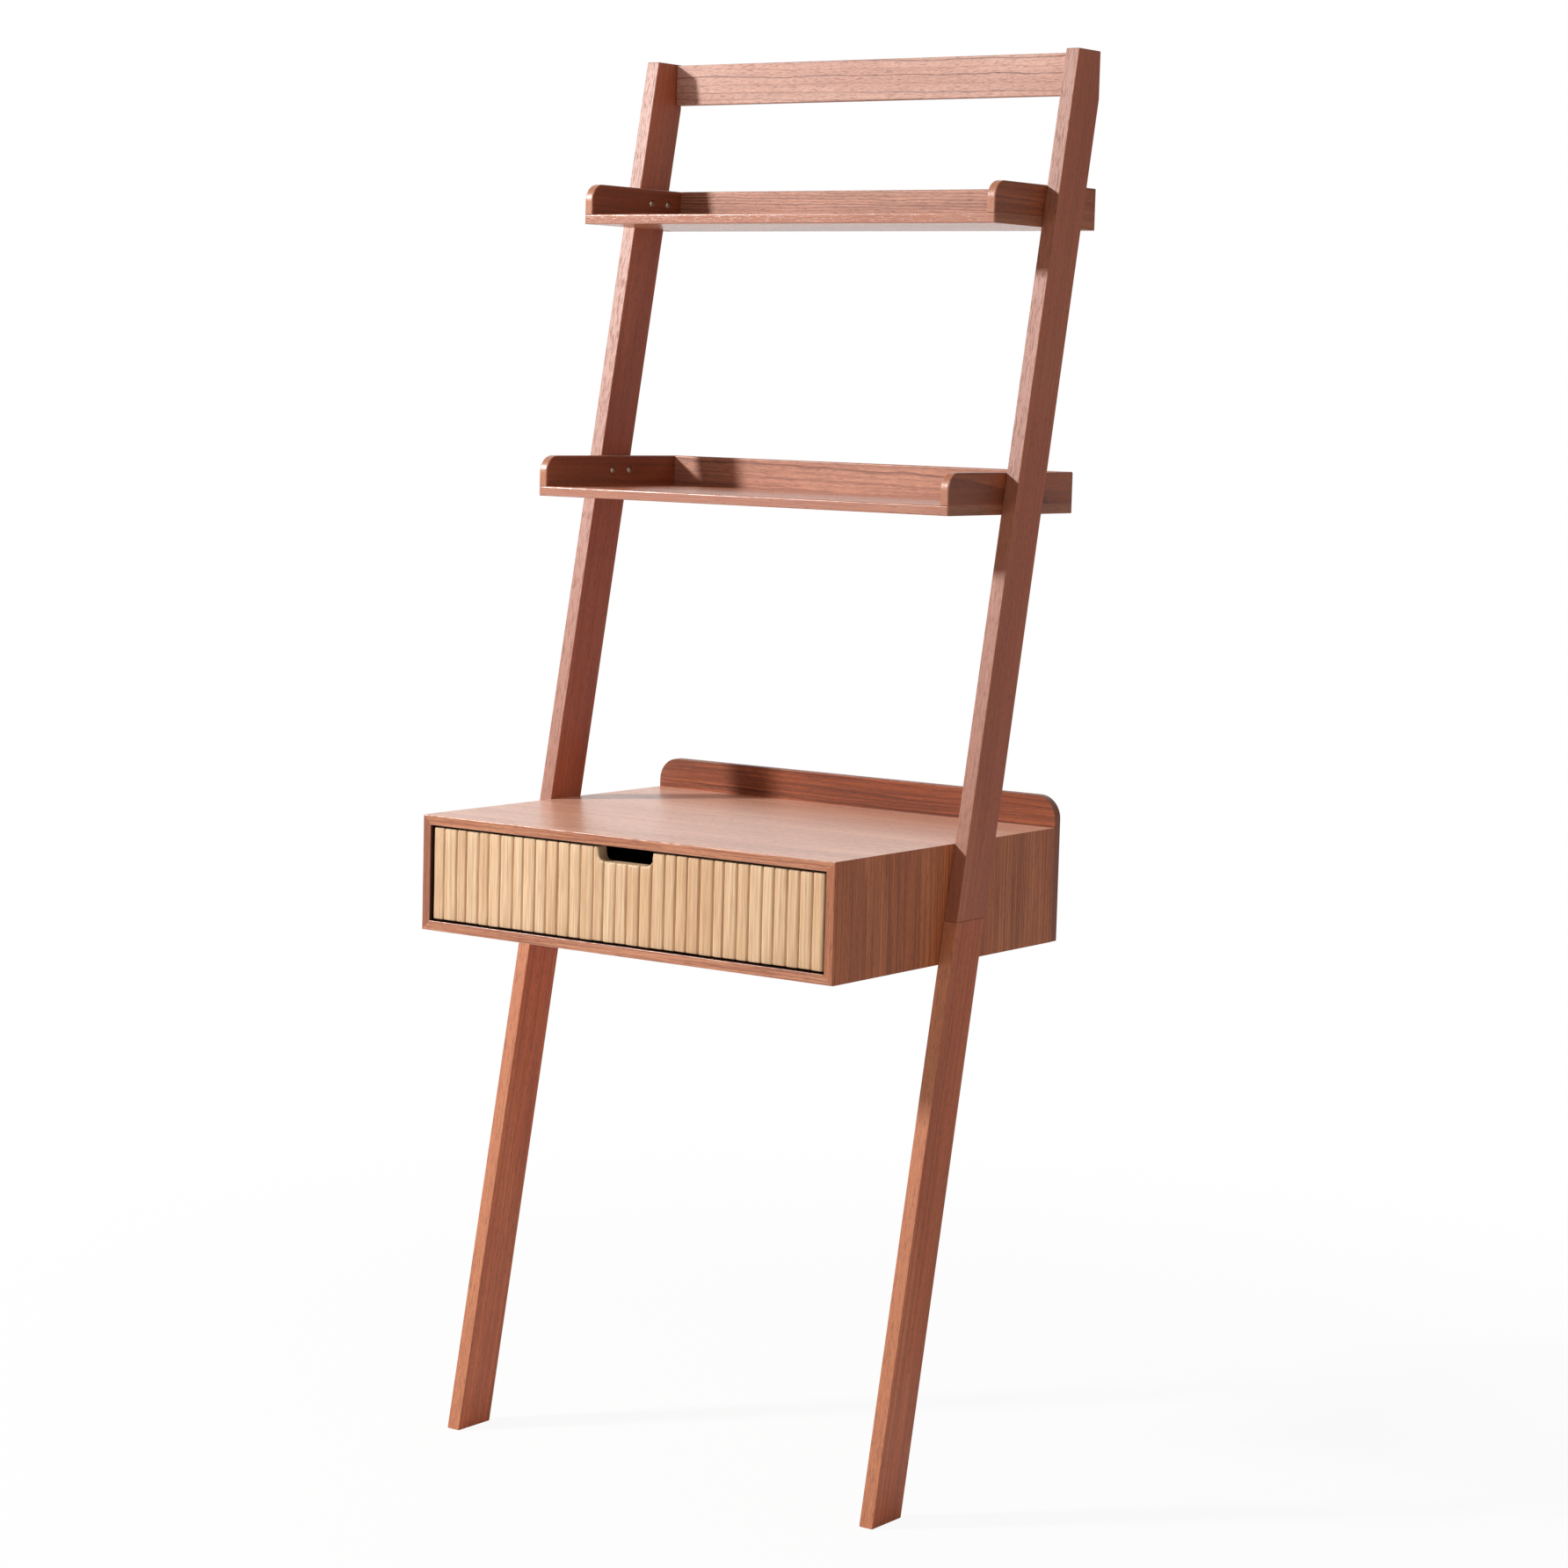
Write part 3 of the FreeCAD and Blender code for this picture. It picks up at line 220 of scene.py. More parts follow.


def walnut(name, grain, wide_axis, heart, *, pale, body, dark="#5e2814", line_gap, line_depth,
           line_start=0.3, drift=6.0, shift=0.0, wander=5.0, wave=(160, 45), streaks=0.3,
           streak_width=4.5, mottle=0.0, fleck=(5, 1.8), edge_pale="#c58465", edge_body="#b27050",
           end_grain=None, shade_inside=None, roughness=0.42, sheen=0.5):
    """Walnut veneer under satin lacquer, sprayed and lightly rubbed down: the lacquer's soft sheen
    lies over a red-brown wood, whose pores show as short dark dashes, drawn twice as coarse as real
    ones so that they show.

    The faces that look along the wide axis show growth lines, and the other faces a striped veneer
    of their own colours. Heart is the log's centre in millimetres across the grain, and shift moves
    the pattern along it. Line_depth, streaks and mottle say how strongly the lines, streaks and
    flecks darken the wood. With an end grain, the ends are veneered like the wide faces, in that
    direction, and come out a little darker. An axis and sign can pick the faces that look into the
    box, which get painted shade: a near-black brown that stands in for the shade inside the box.
    Roughness and sheen are the lacquer's: how far it scatters a reflection, and how strong the
    reflection is."""
    material, tree = new_material(name)
    point = in_the_grain(tree, grain, shift)
    wide = looking_along(tree, wide_axis)
    if end_grain:
        end = looking_along(tree, "X")
        point = add(tree, "Mix", {"Factor": end, "A": point, "B": in_the_grain(tree, end_grain, shift)},
                    data_type="VECTOR")
        wide = add(tree, "Math", {0: wide, 1: end}, operation="MAXIMUM")
    bent = wandering(tree, point, wander, wave)
    lines = growth_lines(tree, bent, heart, line_gap, line_start, drift)
    cloud = patches(tree, bent, CLOUD_SIZE, 0.35, 0.65)
    streak = patches(tree, bent, (STREAK_LENGTH, streak_width, streak_width), 0.36, 0.66, detail=4.0)
    speckle = patches(tree, point, (fleck[0], fleck[1], fleck[1]), 0.35, 0.65, detail=1.0)
    pores = patches(tree, point, PORE_SIZE, 0.54, 0.68, detail=1.5)
    stripes = patches(tree, point, STRIPE_SIZE, 0.3, 0.7)

    face = blended(tree, cloud, 1.0, linear(pale), linear(body))
    face = blended(tree, streak, streaks, face, linear(dark))
    face = blended(tree, lines, line_depth, face, linear(dark))
    edge = blended(tree, stripes, 1.0, linear(edge_pale), linear(edge_body))
    colour = blended(tree, wide, 1.0, edge, face)
    colour = blended(tree, speckle, mottle, colour, linear(dark))
    colour = blended(tree, pores, PORE_DEPTH, colour, linear(dark))
    if end_grain:
        colour = blended(tree, end, END_DEPTH, colour, linear(dark))
    # Painted shade: the faces that look into the desk box are darkened to near black, for the shade inside
    # it.
    if shade_inside:
        colour = blended(tree, looking_along(tree, *shade_inside), 1.0, colour, linear(INSIDE_SHADE))

    relief = add(tree, "Math", {0: lines, 1: LINE_RELIEF, 2: pores}, operation="MULTIPLY_ADD")
    finish(tree, {"Base Color": colour, "Specular IOR Level": sheen}, relief, strength=0.3,
           depth=0.2 * MM, polish=pores, rough=(roughness, roughness + PORE_ROUGHNESS))
    return material


OAK_APART = 400         # mm across the grain between the patterns of the palest and darkest strips


def oak(name, grain):
    """Oak, planed and matt lacquered: pale, with fine brown lines along the grain and a dull sheen.
    The lines are its pores, drawn 0.7 mm wide, twice as coarse as real ones, so that they show. The
    pieces' own "tone" attribute sets one strip off from the next."""
    material, tree = new_material(name)
    point = in_the_grain(tree, grain)
    tone = add(tree, "Attribute", {}, attribute_name="tone")
    apart = add(tree, "CombineXYZ", {"Z": tone.outputs["Fac"]})
    apart = add(tree, "VectorMath", {0: apart, 1: (0, 0, OAK_APART)}, operation="MULTIPLY")
    strip = add(tree, "VectorMath", {0: point, 1: apart}, operation="ADD")
    bent = wandering(tree, strip, 2.5, (90, 14))
    streak = patches(tree, bent, (120, 2.2, 2.2), 0.35, 0.68, detail=3.0)
    fine = patches(tree, bent, (45, 0.7, 0.7), 0.45, 0.75)
    cloud = patches(tree, strip, (70, 14, 14), 0.3, 0.7)
    pale, dark = linear("#f0cea6"), linear("#a57347")
    colour = blended(tree, tone.outputs["Fac"], 1.0, pale, linear("#dbb186"))
    colour = blended(tree, cloud, 0.2, colour, pale)
    colour = blended(tree, streak, 0.4, colour, dark)
    colour = blended(tree, fine, 0.5, colour, dark)
    finish(tree, {"Base Color": colour}, fine, strength=0.4, depth=0.2 * MM, polish=streak,
           rough=(0.5, 0.62))
    return material


PLY = 1.4               # mm, thickness of one veneer of the plywood


def birch_ply(name, grain, wide_axis):
    """Birch plywood, sanded and clear lacquered: creamy faces with faint pinkish streaks a few
    millimetres wide, and edges that show its veneers as light and brown lines. The fine grain is
    drawn 0.8 mm wide, several times as coarse as the real one, so that it shows."""
    material, tree = new_material(name)
    point = in_the_grain(tree, grain)
    bent = wandering(tree, point, 6, (200, 40))
    streak = patches(tree, bent, (260, 9, 9), 0.35, 0.7, detail=4.0)
    fine = patches(tree, bent, (30, 0.8, 0.8), 0.5, 0.7)
    where = add(tree, "TexCoord", {})
    parts = add(tree, "SeparateXYZ", {"Vector": where.outputs["Object"]})
    turn = add(tree, "Math", {0: parts.outputs[wide_axis], 1: math.pi / (PLY * MM)}, operation="MULTIPLY")
    band = add(tree, "Math", {0: turn}, operation="SINE")
    band = add(tree, "MapRange", {"Value": band, "From Min": -0.3, "From Max": 0.3})
    plies = blended(tree, band, 1.0, linear("#e2c79a"), linear("#a97f54"))
    face = blended(tree, streak, 0.45, linear("#ecd9b6"), linear("#cfa77c"))
    face = blended(tree, fine, 0.2, face, linear("#a9815a"))
    colour = blended(tree, looking_along(tree, wide_axis), 1.0, plies, face)
    finish(tree, {"Base Color": colour}, fine, strength=0.2, depth=0.1 * MM, polish=streak,
           rough=(0.45, 0.55))
    return material


def beech(name, grain):
    """Beech, turned or sawn and left bare: pinkish cream with the small dark flecks of its rays, 2.5
    by 0.5 mm, and no shine."""
    material, tree = new_material(name)
    point = in_the_grain(tree, grain)
    rays = patches(tree, point, (2.5, 0.5, 0.5), 0.55, 0.7, detail=1.0)
    tone = patches(tree, point, (60, 5, 5), 0.3, 0.7)
    colour = blended(tree, tone, 1.0, linear("#dbb58c"), linear("#cda077"))
    colour = blended(tree, rays, 0.5, colour, linear("#8f6440"))
    finish(tree, {"Base Color": colour}, rays, strength=0.3, depth=0.1 * MM, polish=tone,
           rough=(0.65, 0.75))
    return material


# ---- Metals and rubber ----
def plated(name, pale, dull, smooth, rough, patch_size):
    """Metal with a thin finish of its own: patches of slightly different brightness and polish, of
    the given size in millimetres, are what plating and turning leave on it."""
    material, tree = new_material(name)
    point = in_the_grain(tree, ALONG_X)
    patch = patches(tree, point, patch_size, 0.3, 0.7)
    colour = blended(tree, patch, 1.0, linear(pale), linear(dull))
    finish(tree, {"Base Color": colour, "Metallic": 1.0}, patch, strength=0.15, depth=0.05 * MM,
           polish=patch, rough=(smooth, rough), sunk=False)
    return material


def moulded_rubber(name):
    """Rubber moulded in a blasted tool: near black and matt, with a fine grain that breaks up the
    little light it returns. The grain is drawn 0.8 mm wide, coarser than real, so that it shows."""
    material, tree = new_material(name)
    point = in_the_grain(tree, ALONG_X)
    grain = patches(tree, point, (0.8, 0.8, 0.8), 0.35, 0.65)
    dust = patches(tree, point, (9, 9, 9), 0.4, 0.8)
    colour = blended(tree, dust, 1.0, linear("#1d1b1a"), linear("#2b2826"))
    finish(tree, {"Base Color": colour}, grain, strength=0.6, depth=0.2 * MM, polish=dust,
           rough=(0.75, 0.9), sunk=False)
    return material


# ---- Making of pieces ----
def piece_from(bm, name, body, slot, material, *replaced):
    """Makes the finished bmesh an object that rides a body and stands for the replaced nodes."""
    mesh = bpy.data.meshes.new(name)
    bm.to_mesh(mesh)
    bm.free()
    mesh.materials.append(material)
    piece = bpy.data.objects.new(name, mesh)
    bpy.context.scene.collection.objects.link(piece)
    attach(piece, body)
    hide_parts(*replaced)
    return piece


def verts_in(made):
    """The corners among the things that an operator has made."""
    return [item for item in made if isinstance(item, bmesh.types.BMVert)]


def drawn_on(bm, ring, factor, drop):
    """Draws a closed ring of edges on: the new ring is scaled about the Z axis and then lowered."""
    made = bmesh.ops.extrude_edge_only(bm, edges=ring)["geom"]
    verts = verts_in(made)
    bmesh.ops.scale(bm, verts=verts, vec=(factor, factor, 1))
    bmesh.ops.translate(bm, verts=verts, vec=(0, 0, -drop))
    own = set(verts)
    return [item for item in made
            if isinstance(item, bmesh.types.BMEdge) and item.verts[0] in own and item.verts[1] in own]


SAME_PLACE = 0.01 * MM  # corners nearer than this are one


def solids_of(node):
    """The lowest and highest corners of each separate solid in a node."""
    bm = bmesh.new()
    bm.from_mesh(nodes[node].data)
    bmesh.ops.remove_doubles(bm, verts=bm.verts[:], dist=SAME_PLACE)
    left = set(bm.verts)
    corners = []
    while left:
        reached = [left.pop()]
        for vert in reached:
            near = {edge.other_vert(vert) for edge in vert.link_edges} & left
            left -= near
            reached += near
        places = [vert.co for vert in reached]
        corners.append((Vector(map(min, zip(*places))), Vector(map(max, zip(*places)))))
    bm.free()
    return sorted(corners, key=lambda pair: tuple(pair[0]))


def fasteners(node, way):
    """For each fastener of a node, the middle of its head's face, the way its shank points from there
    and its whole length. On the left, a way along X is turned round."""
    found = []
    for low, high in solids_of(node):
        centre = (low + high) / 2
        into = Vector(way)
        if centre.x < 0:
            into.x = -into.x
        half = abs((high - low).dot(into)) / 2
        found.append((centre - into * half, into, 2 * half))
    return found


def set_in(bm, verts, place, into):
    """Moves a fastener, made with its head's face at the origin and its shank down, to its place."""
    turn = Vector((0, 0, -1)).rotation_difference(into).to_matrix().to_4x4()
    bmesh.ops.transform(bm, matrix=Matrix.Translation(place) @ turn, verts=verts)


BOLT_SIDES = 24                 # of its round parts, a multiple of the socket's six
BOLT_SOCKET = 4.0 * MM          # hexagon across its flats
BOLT_SOCKET_DEPTH = 2.5 * MM
BOLT_HEAD = 4.2 * MM            # radius
BOLT_HEAD_HEIGHT = 4.5 * MM
BOLT_DOME = 1.4 * MM            # height of the head's rounded part
BOLT_FLAT = 2.7 * MM            # radius of the flat round the socket
BOLT_DOME_STEPS = 4
BOLT_CHAMFER = 0.6 * MM         # at the shank's end
BOLT_SHANK = 2.5 * MM           # radius
BOLT_SOCKET_FLOOR = 0.97        # size of the socket's floor, where its mouth is 1
BOLT_END = 0.8                  # size of the shank's end, where the shank is 1


def socket_bolt(bm, place, into, length):
    """A socket-head bolt: a hexagon drawn down for the socket, and out for the domed head and shank."""
    before = set(bm.verts)
    hexagon = bmesh.ops.create_circle(bm, cap_ends=False, radius=1, segments=BOLT_SIDES)["verts"]
    for vert in hexagon:
        turn = math.atan2(vert.co.y, vert.co.x) % (math.pi / 3) - math.pi / 6
        vert.co *= BOLT_SOCKET / 2 / math.cos(turn)
    edges = list({edge for vert in hexagon for edge in vert.link_edges})
    floor = drawn_on(bm, edges, BOLT_SOCKET_FLOOR, BOLT_SOCKET_DEPTH)
    bmesh.ops.edgeloop_fill(bm, edges=floor)
    ring = drawn_on(bm, edges, 1, 0)
    for vert in {vert for edge in ring for vert in edge.verts}:
        vert.co = vert.co.normalized() * BOLT_FLAT
    radius, drop = BOLT_FLAT, 0
    for step in range(1, BOLT_DOME_STEPS + 1):
        turn = math.pi / 2 * step / BOLT_DOME_STEPS
        wider = BOLT_FLAT + (BOLT_HEAD - BOLT_FLAT) * math.sin(turn)
        lower = BOLT_DOME * (1 - math.cos(turn))
        ring = drawn_on(bm, ring, wider / radius, lower - drop)
        radius, drop = wider, lower
    ring = drawn_on(bm, ring, 1, BOLT_HEAD_HEIGHT - BOLT_DOME)
    ring = drawn_on(bm, ring, BOLT_SHANK / BOLT_HEAD, 0)
    ring = drawn_on(bm, ring, 1, length - BOLT_HEAD_HEIGHT - BOLT_CHAMFER)
    ring = drawn_on(bm, ring, BOLT_END, BOLT_CHAMFER)
    bmesh.ops.edgeloop_fill(bm, edges=ring)
    set_in(bm, list(set(bm.verts) - before), place, into)


SCREW_SHANK = 1.7 * MM          # radius
SCREW_TIP = 3.0 * MM
SCREW_POINT = 0.1               # size of the tip's end, where the shank is 1
RECESS_HALF = 0.45 * MM         # half the width of the cross recess's arms
RECESS_ARM = 1.5 * MM
RECESS_DEPTH = 1.1 * MM
RECESS_FLOOR = 0.7              # size of the recess's floor, where its mouth is 1
COUNTERSUNK = (3.5 * MM, 2.2 * MM, 0)           # head's radius, its height, its straight rim
COUNTERSUNK_PLATE = (3.0 * MM, 1.4 * MM, 0)
PAN_HEAD = (3.0 * MM, 1.4 * MM, 1.0 * MM)


def cross_screw(bm, place, into, length, head):
    """A screw with a cross recess: a grid whose rim becomes the head's and is drawn on to the tip. A
    head with a straight rim is rounded over above it."""
    radius, height, rim = head
    before = set(bm.verts)
    lines = (-radius, -RECESS_ARM, -RECESS_HALF, RECESS_HALF, RECESS_ARM, radius)
    last = len(lines) - 1
    grid = bmesh.ops.create_grid(bm, x_segments=last, y_segments=last, size=1)["verts"]
    crown = radius - (height - rim) if rim else radius
    for vert in grid:
        column, row = round((vert.co.x + 1) / 2 * last), round((vert.co.y + 1) / 2 * last)
        vert.co = Vector((lines[column], lines[row], 0))
        if column in (0, last) or row in (0, last):
            vert.co = vert.co.normalized() * crown
    edges = {edge for vert in grid for edge in vert.link_edges}
    ring = [edge for edge in edges if edge.is_boundary]
    faces = {face for edge in edges for face in edge.link_faces}
    middles = {face: face.calc_center_median() for face in faces}
    arms = [face for face, middle in middles.items()
            if min(abs(middle.x), abs(middle.y)) < RECESS_HALF and middle.length < RECESS_ARM]
    pushed = verts_in(bmesh.ops.extrude_face_region(bm, geom=arms)["geom"])
    bmesh.ops.scale(bm, verts=pushed, vec=(RECESS_FLOOR, RECESS_FLOOR, 1))
    bmesh.ops.translate(bm, verts=pushed, vec=(0, 0, -RECESS_DEPTH))
    if rim:
        ring = drawn_on(bm, ring, radius / crown, height - rim)
        ring = drawn_on(bm, ring, 1, rim)
        ring = drawn_on(bm, ring, SCREW_SHANK / radius, 0)
    else:
        ring = drawn_on(bm, ring, SCREW_SHANK / radius, height)
    ring = drawn_on(bm, ring, 1, length - height - SCREW_TIP)
    ring = drawn_on(bm, ring, SCREW_POINT, SCREW_TIP)
    bmesh.ops.edgeloop_fill(bm, edges=ring)
    set_in(bm, list(set(bm.verts) - before), place, into)


def make_fasteners(name, node, body, slot, material, way, make, *sizes):
    """All the fasteners of a node in one piece, each where the node has its own."""
    bm = bmesh.new()
    for place, into, length in fasteners(node, way):
        make(bm, place, into, length, *sizes)
    bmesh.ops.recalc_face_normals(bm, faces=bm.faces[:])
    piece_from(bm, name, body, slot, material, node)


# ---- Drawer front ----
REED_COUNT = 33
REED_GAP = 0.25 * MM
REED_ROUND = 3.0 * MM           # radius of each reed's long edges
REED_ROUND_STEPS = 5
REED_END_ROUND = 1.4 * MM
REED_END_STEPS = 2
REED_END_FACE = 0.9             # part of a face's normal along the reed, over which it is an end
REED_SEGMENTS = 7               # along a reed, so that it can bend
REED_SEED = 8
REED_SEAM_PLAY = 1.5            # mm, how far a seam between two reeds lies from its even place
REED_FACE_PLAY = 0.4            # mm, how far a reed's face lies back
REED_TOP_PLAY = 0.4             # mm, how far its top lies down
REED_FOOT_PLAY = 0.5            # mm, how far its foot lies up
REED_BEND = 0.2                 # mm, either way
REED_TURN = 3                   # radians, how far into its wave a reed may start
ON_PLANE = 1e-7                 # m, how near a cutting plane a corner counts as on it


def rounded_bar(bm, low, high):
    """A bar with its long front edges rounded over and its ends softened. Gives back its corners."""
    size = high - low
    made = bmesh.ops.create_cube(bm, size=1.0)["verts"]
    bmesh.ops.scale(bm, verts=made, vec=size)
    bmesh.ops.translate(bm, verts=made, vec=(low + high) / 2)
    edges = {edge for vert in made for edge in vert.link_edges}
    front = [edge for edge in edges
             if all(vert.co.y < low.y + size.y / 2 for vert in edge.verts)
             and abs(edge.verts[0].co.z - edge.verts[1].co.z) > size.z / 2]
    rounded = bmesh.ops.bevel(bm, geom=front, offset=REED_ROUND, segments=REED_ROUND_STEPS,
                              profile=0.5, affect="EDGES", material=-1)
    made = ({vert for vert in made if vert.is_valid}
            | {vert for face in rounded["faces"] for vert in face.verts})
    faces = {face for vert in made for face in vert.link_faces}
    ends = {edge for face in faces if abs(face.normal.z) > REED_END_FACE for edge in face.edges
            if all(vert.co.y < high.y - size.y / 10 for vert in edge.verts)}
    softened = bmesh.ops.bevel(bm, geom=list(ends), offset=REED_END_ROUND,
                               segments=REED_END_STEPS, profile=0.5, affect="EDGES", material=-1)
    return ({vert for vert in made if vert.is_valid}
            | {vert for face in softened["faces"] for vert in face.verts})


def reed(bm, low, high, bend, turn, tone, layer):
    """One reed: a rounded bar that is cut across into segments and bent sideways in a slight wave. The
    bend is in millimetres, and the turn is where in its wave the reed starts."""
    made = rounded_bar(bm, low, high)
    size = high - low
    for step in range(1, REED_SEGMENTS):
        level = low.z + size.z * step / REED_SEGMENTS
        faces = {face for vert in made for face in vert.link_faces}
        edges = {edge for face in faces for edge in face.edges}
        cut = bmesh.ops.bisect_plane(bm, geom=list(made | edges | faces), dist=ON_PLANE,
                                     plane_co=(0, 0, level), plane_no=(0, 0, 1))
        made |= set(verts_in(cut["geom"]))
    for vert in made:
        part = (vert.co.z - low.z) / size.z
        vert.co.x += bend * math.sin(math.pi * part * 2 + turn) * MM
    for face in {face for vert in made for face in vert.link_faces}:
        face[layer] = tone


def make_reeds():
    """The row of reeds on the drawer's front, each with its own tone and its own slight bend."""
    low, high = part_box("drawer_front_reeds")
    pitch = (high.x - low.x) / REED_COUNT
    draw = random.Random(REED_SEED)
    bm = bmesh.new()
    layer = bm.faces.layers.float.new("tone")
    even = [low.x + pitch * step for step in range(REED_COUNT + 1)]
    moved = [seam + draw.uniform(-REED_SEAM_PLAY, REED_SEAM_PLAY) * MM for seam in even[1:-1]]
    seams = even[:1] + moved + even[-1:]
    for left, right in zip(seams[:-1], seams[1:]):
        near = Vector((left + REED_GAP / 2, low.y + draw.uniform(0, REED_FACE_PLAY) * MM,
                       low.z + draw.uniform(0, REED_FOOT_PLAY) * MM))
        far = Vector((right - REED_GAP / 2, high.y, high.z - draw.uniform(0, REED_TOP_PLAY) * MM))
        reed(bm, near, far, draw.uniform(-REED_BEND, REED_BEND), draw.uniform(0, REED_TURN),
             draw.random(), layer)
    for face in bm.faces:
        face.smooth = True
    return piece_from(bm, "drawer_reeds", "drawer", "oak_reeds", oak("planed_oak_reeds", ALONG_Z),
                      "drawer_front_reeds")


def cut_out(piece, cutter):
    """Cuts the cutter's shape out of a piece, and removes the cutter."""
    cut = piece.modifiers.new("cut", "BOOLEAN")
    cut.object = cutter
    cut.solver = "EXACT"
    bpy.context.view_layer.update()
    result = piece.evaluated_get(bpy.context.evaluated_depsgraph_get())
    mesh = bpy.data.meshes.new_from_object(result)
    piece.modifiers.clear()
    piece.data = mesh
    bpy.data.objects.remove(cutter)


NOTCH_WIDTH = 81 * MM           # at the top
NOTCH_DEPTH = 16.5 * MM
NOTCH_TAPER = 2.5 * MM          # how far each side leans in on its way down
NOTCH_ROUND = 8 * MM            # radius of its lower corners
NOTCH_ROUND_STEPS = 8
NOTCH_CENTRE = 4 * MM           # to the right of the drawer's middle
NOTCH_REACH = 30 * MM           # from front to back of the block that cuts it
NOTCH_FLARE = 2.4 * MM          # how far the notch's front edge is rounded over
NOTCH_FLARE_STEPS = 4


def notch_cutter():
    """A block as wide as the finger notch, with its lower corners rounded, from front to back, and
    flared in front of the reeds so that it leaves a rounded-over edge."""
    low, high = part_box("drawer_front_reeds")
    bm = bmesh.new()
    made = bmesh.ops.create_cube(bm, size=1.0)["verts"]
    bmesh.ops.scale(bm, verts=made, vec=(NOTCH_WIDTH, NOTCH_REACH, 2 * NOTCH_DEPTH))
    bmesh.ops.translate(bm, verts=made, vec=(NOTCH_CENTRE, low.y, high.z))
    for vert in made:
        side = 1 if vert.co.x > NOTCH_CENTRE else -1
        height = (vert.co.z - high.z) / NOTCH_DEPTH
        vert.co.x += side * height * NOTCH_TAPER
    lower = [edge for edge in bm.edges if all(vert.co.z < high.z for vert in edge.verts)
             and abs(edge.verts[0].co.y - edge.verts[1].co.y) > NOTCH_REACH / 3]
    bmesh.ops.bevel(bm, geom=lower, offset=NOTCH_ROUND, segments=NOTCH_ROUND_STEPS, profile=0.5,
                    affect="EDGES", material=-1)
    for step in range(NOTCH_FLARE_STEPS + 1):
        turn = math.pi / 2 * step / NOTCH_FLARE_STEPS
        depth = low.y + NOTCH_FLARE * math.cos(turn)
        bmesh.ops.bisect_plane(bm, geom=bm.verts[:] + bm.edges[:] + bm.faces[:], dist=ON_PLANE,
                               plane_co=(0, depth, 0), plane_no=(0, 1, 0))
    for vert in bm.verts:
        ahead = min(max((low.y + NOTCH_FLARE - vert.co.y) / NOTCH_FLARE, 0), 1)
        reach = NOTCH_FLARE * (1 - math.sqrt(1 - ahead * ahead))
        vert.co.x += reach * (1 if vert.co.x > NOTCH_CENTRE else -1)
        if vert.co.z < high.z:
            vert.co.z -= reach
    mesh = bpy.data.meshes.new("notch")
    bm.to_mesh(mesh)
    bm.free()
    cutter = bpy.data.objects.new("notch", mesh)
    bpy.context.scene.collection.objects.link(cutter)
    return cutter


# ---- Dressing of the frame's own nodes ----
def dress_stiles():
    """The stiles, whose lower lengths are a little brighter than the upper ones, and the foot pads."""
    upper = walnut("satin_walnut_upper_stile", ALONG_STILE, "X", (140, 60), line_gap=9,
                   line_depth=0.12, streaks=0.22, mottle=0.12, pale="#c7683e", body="#b8572e",
                   edge_pale="#b06a49", edge_body="#a05a3b", roughness=0.49, sheen=0.9)
    lower = walnut("satin_walnut_lower_stile", ALONG_STILE, "X", (140, 60), line_gap=9,
                   line_depth=0.15, shift=500, mottle=0.1, pale="#d87648", body="#c86437",
                   edge_pale="#cc8259", edge_body="#be734e", roughness=0.45, sheen=0.6)
    dress(upper, "left_upper_stile", "right_upper_stile")
    dress(lower, "left_lower_stile", "right_lower_stile")
    dress(moulded_rubber("moulded_rubber"), "left_foot_pad", "right_foot_pad")


def dress_shelves():
    """The rail, the boards of both shelves and the packers behind the upper one. Each kind of board
    has a veneer of its own."""
    rail = walnut("satin_walnut_rail", ALONG_X, "Y", (-73, 1200), line_gap=8, line_start=0.72,
                  line_depth=1.0, drift=0.6, wander=7, wave=(110, 26), streaks=0.15, mottle=0.2,
                  fleck=(5, 1.5), pale="#dca791", body="#cf957e", dark="#5a2a1c", roughness=0.5,
                  sheen=0.8)
    dress(rail, "top_rail")
    for shelf in ("middle", "top"):
        start = shelf + "_shelf"
        bottom = walnut("satin_walnut_" + start, ALONG_X, "Z", (300, 1100), line_gap=4, line_depth=0.4,
                        pale="#d58b68", body="#c57a56", edge_pale="#c58c74", edge_body="#b57864",
                        end_grain=ALONG_Y, roughness=0.24, sheen=0.8)
        back = walnut("satin_walnut_" + start + "_back", ALONG_X, "Y", (-73, 1000), line_gap=3.5,
                      line_depth=0.8, drift=2.0, wander=6, wave=(70, 16), streak_width=2.5,
                      mottle=0.15, fleck=(14, 2), pale="#dc9b7c", body="#cb8666", roughness=0.5,
                      sheen=0.9)
        sides = walnut("satin_walnut_" + start + "_side", ALONG_Y, "X", (500, 1100), line_gap=4,
                       line_depth=0.5, pale="#b05c36", body="#9c4a25", dark="#4a1f0e",
                       roughness=0.36, sheen=0.8)
        dress(bottom, start + "_bottom")
        dress(back, start + "_back")
        dress(sides, start + "_left_side", start + "_right_side")
    packers = walnut("satin_walnut_packers", ALONG_Y, "X", (500, 1100), line_gap=4, line_depth=0.4,
                     pale="#bb6a46", body="#aa5934")
    dress(packers, "top_shelf_packers")


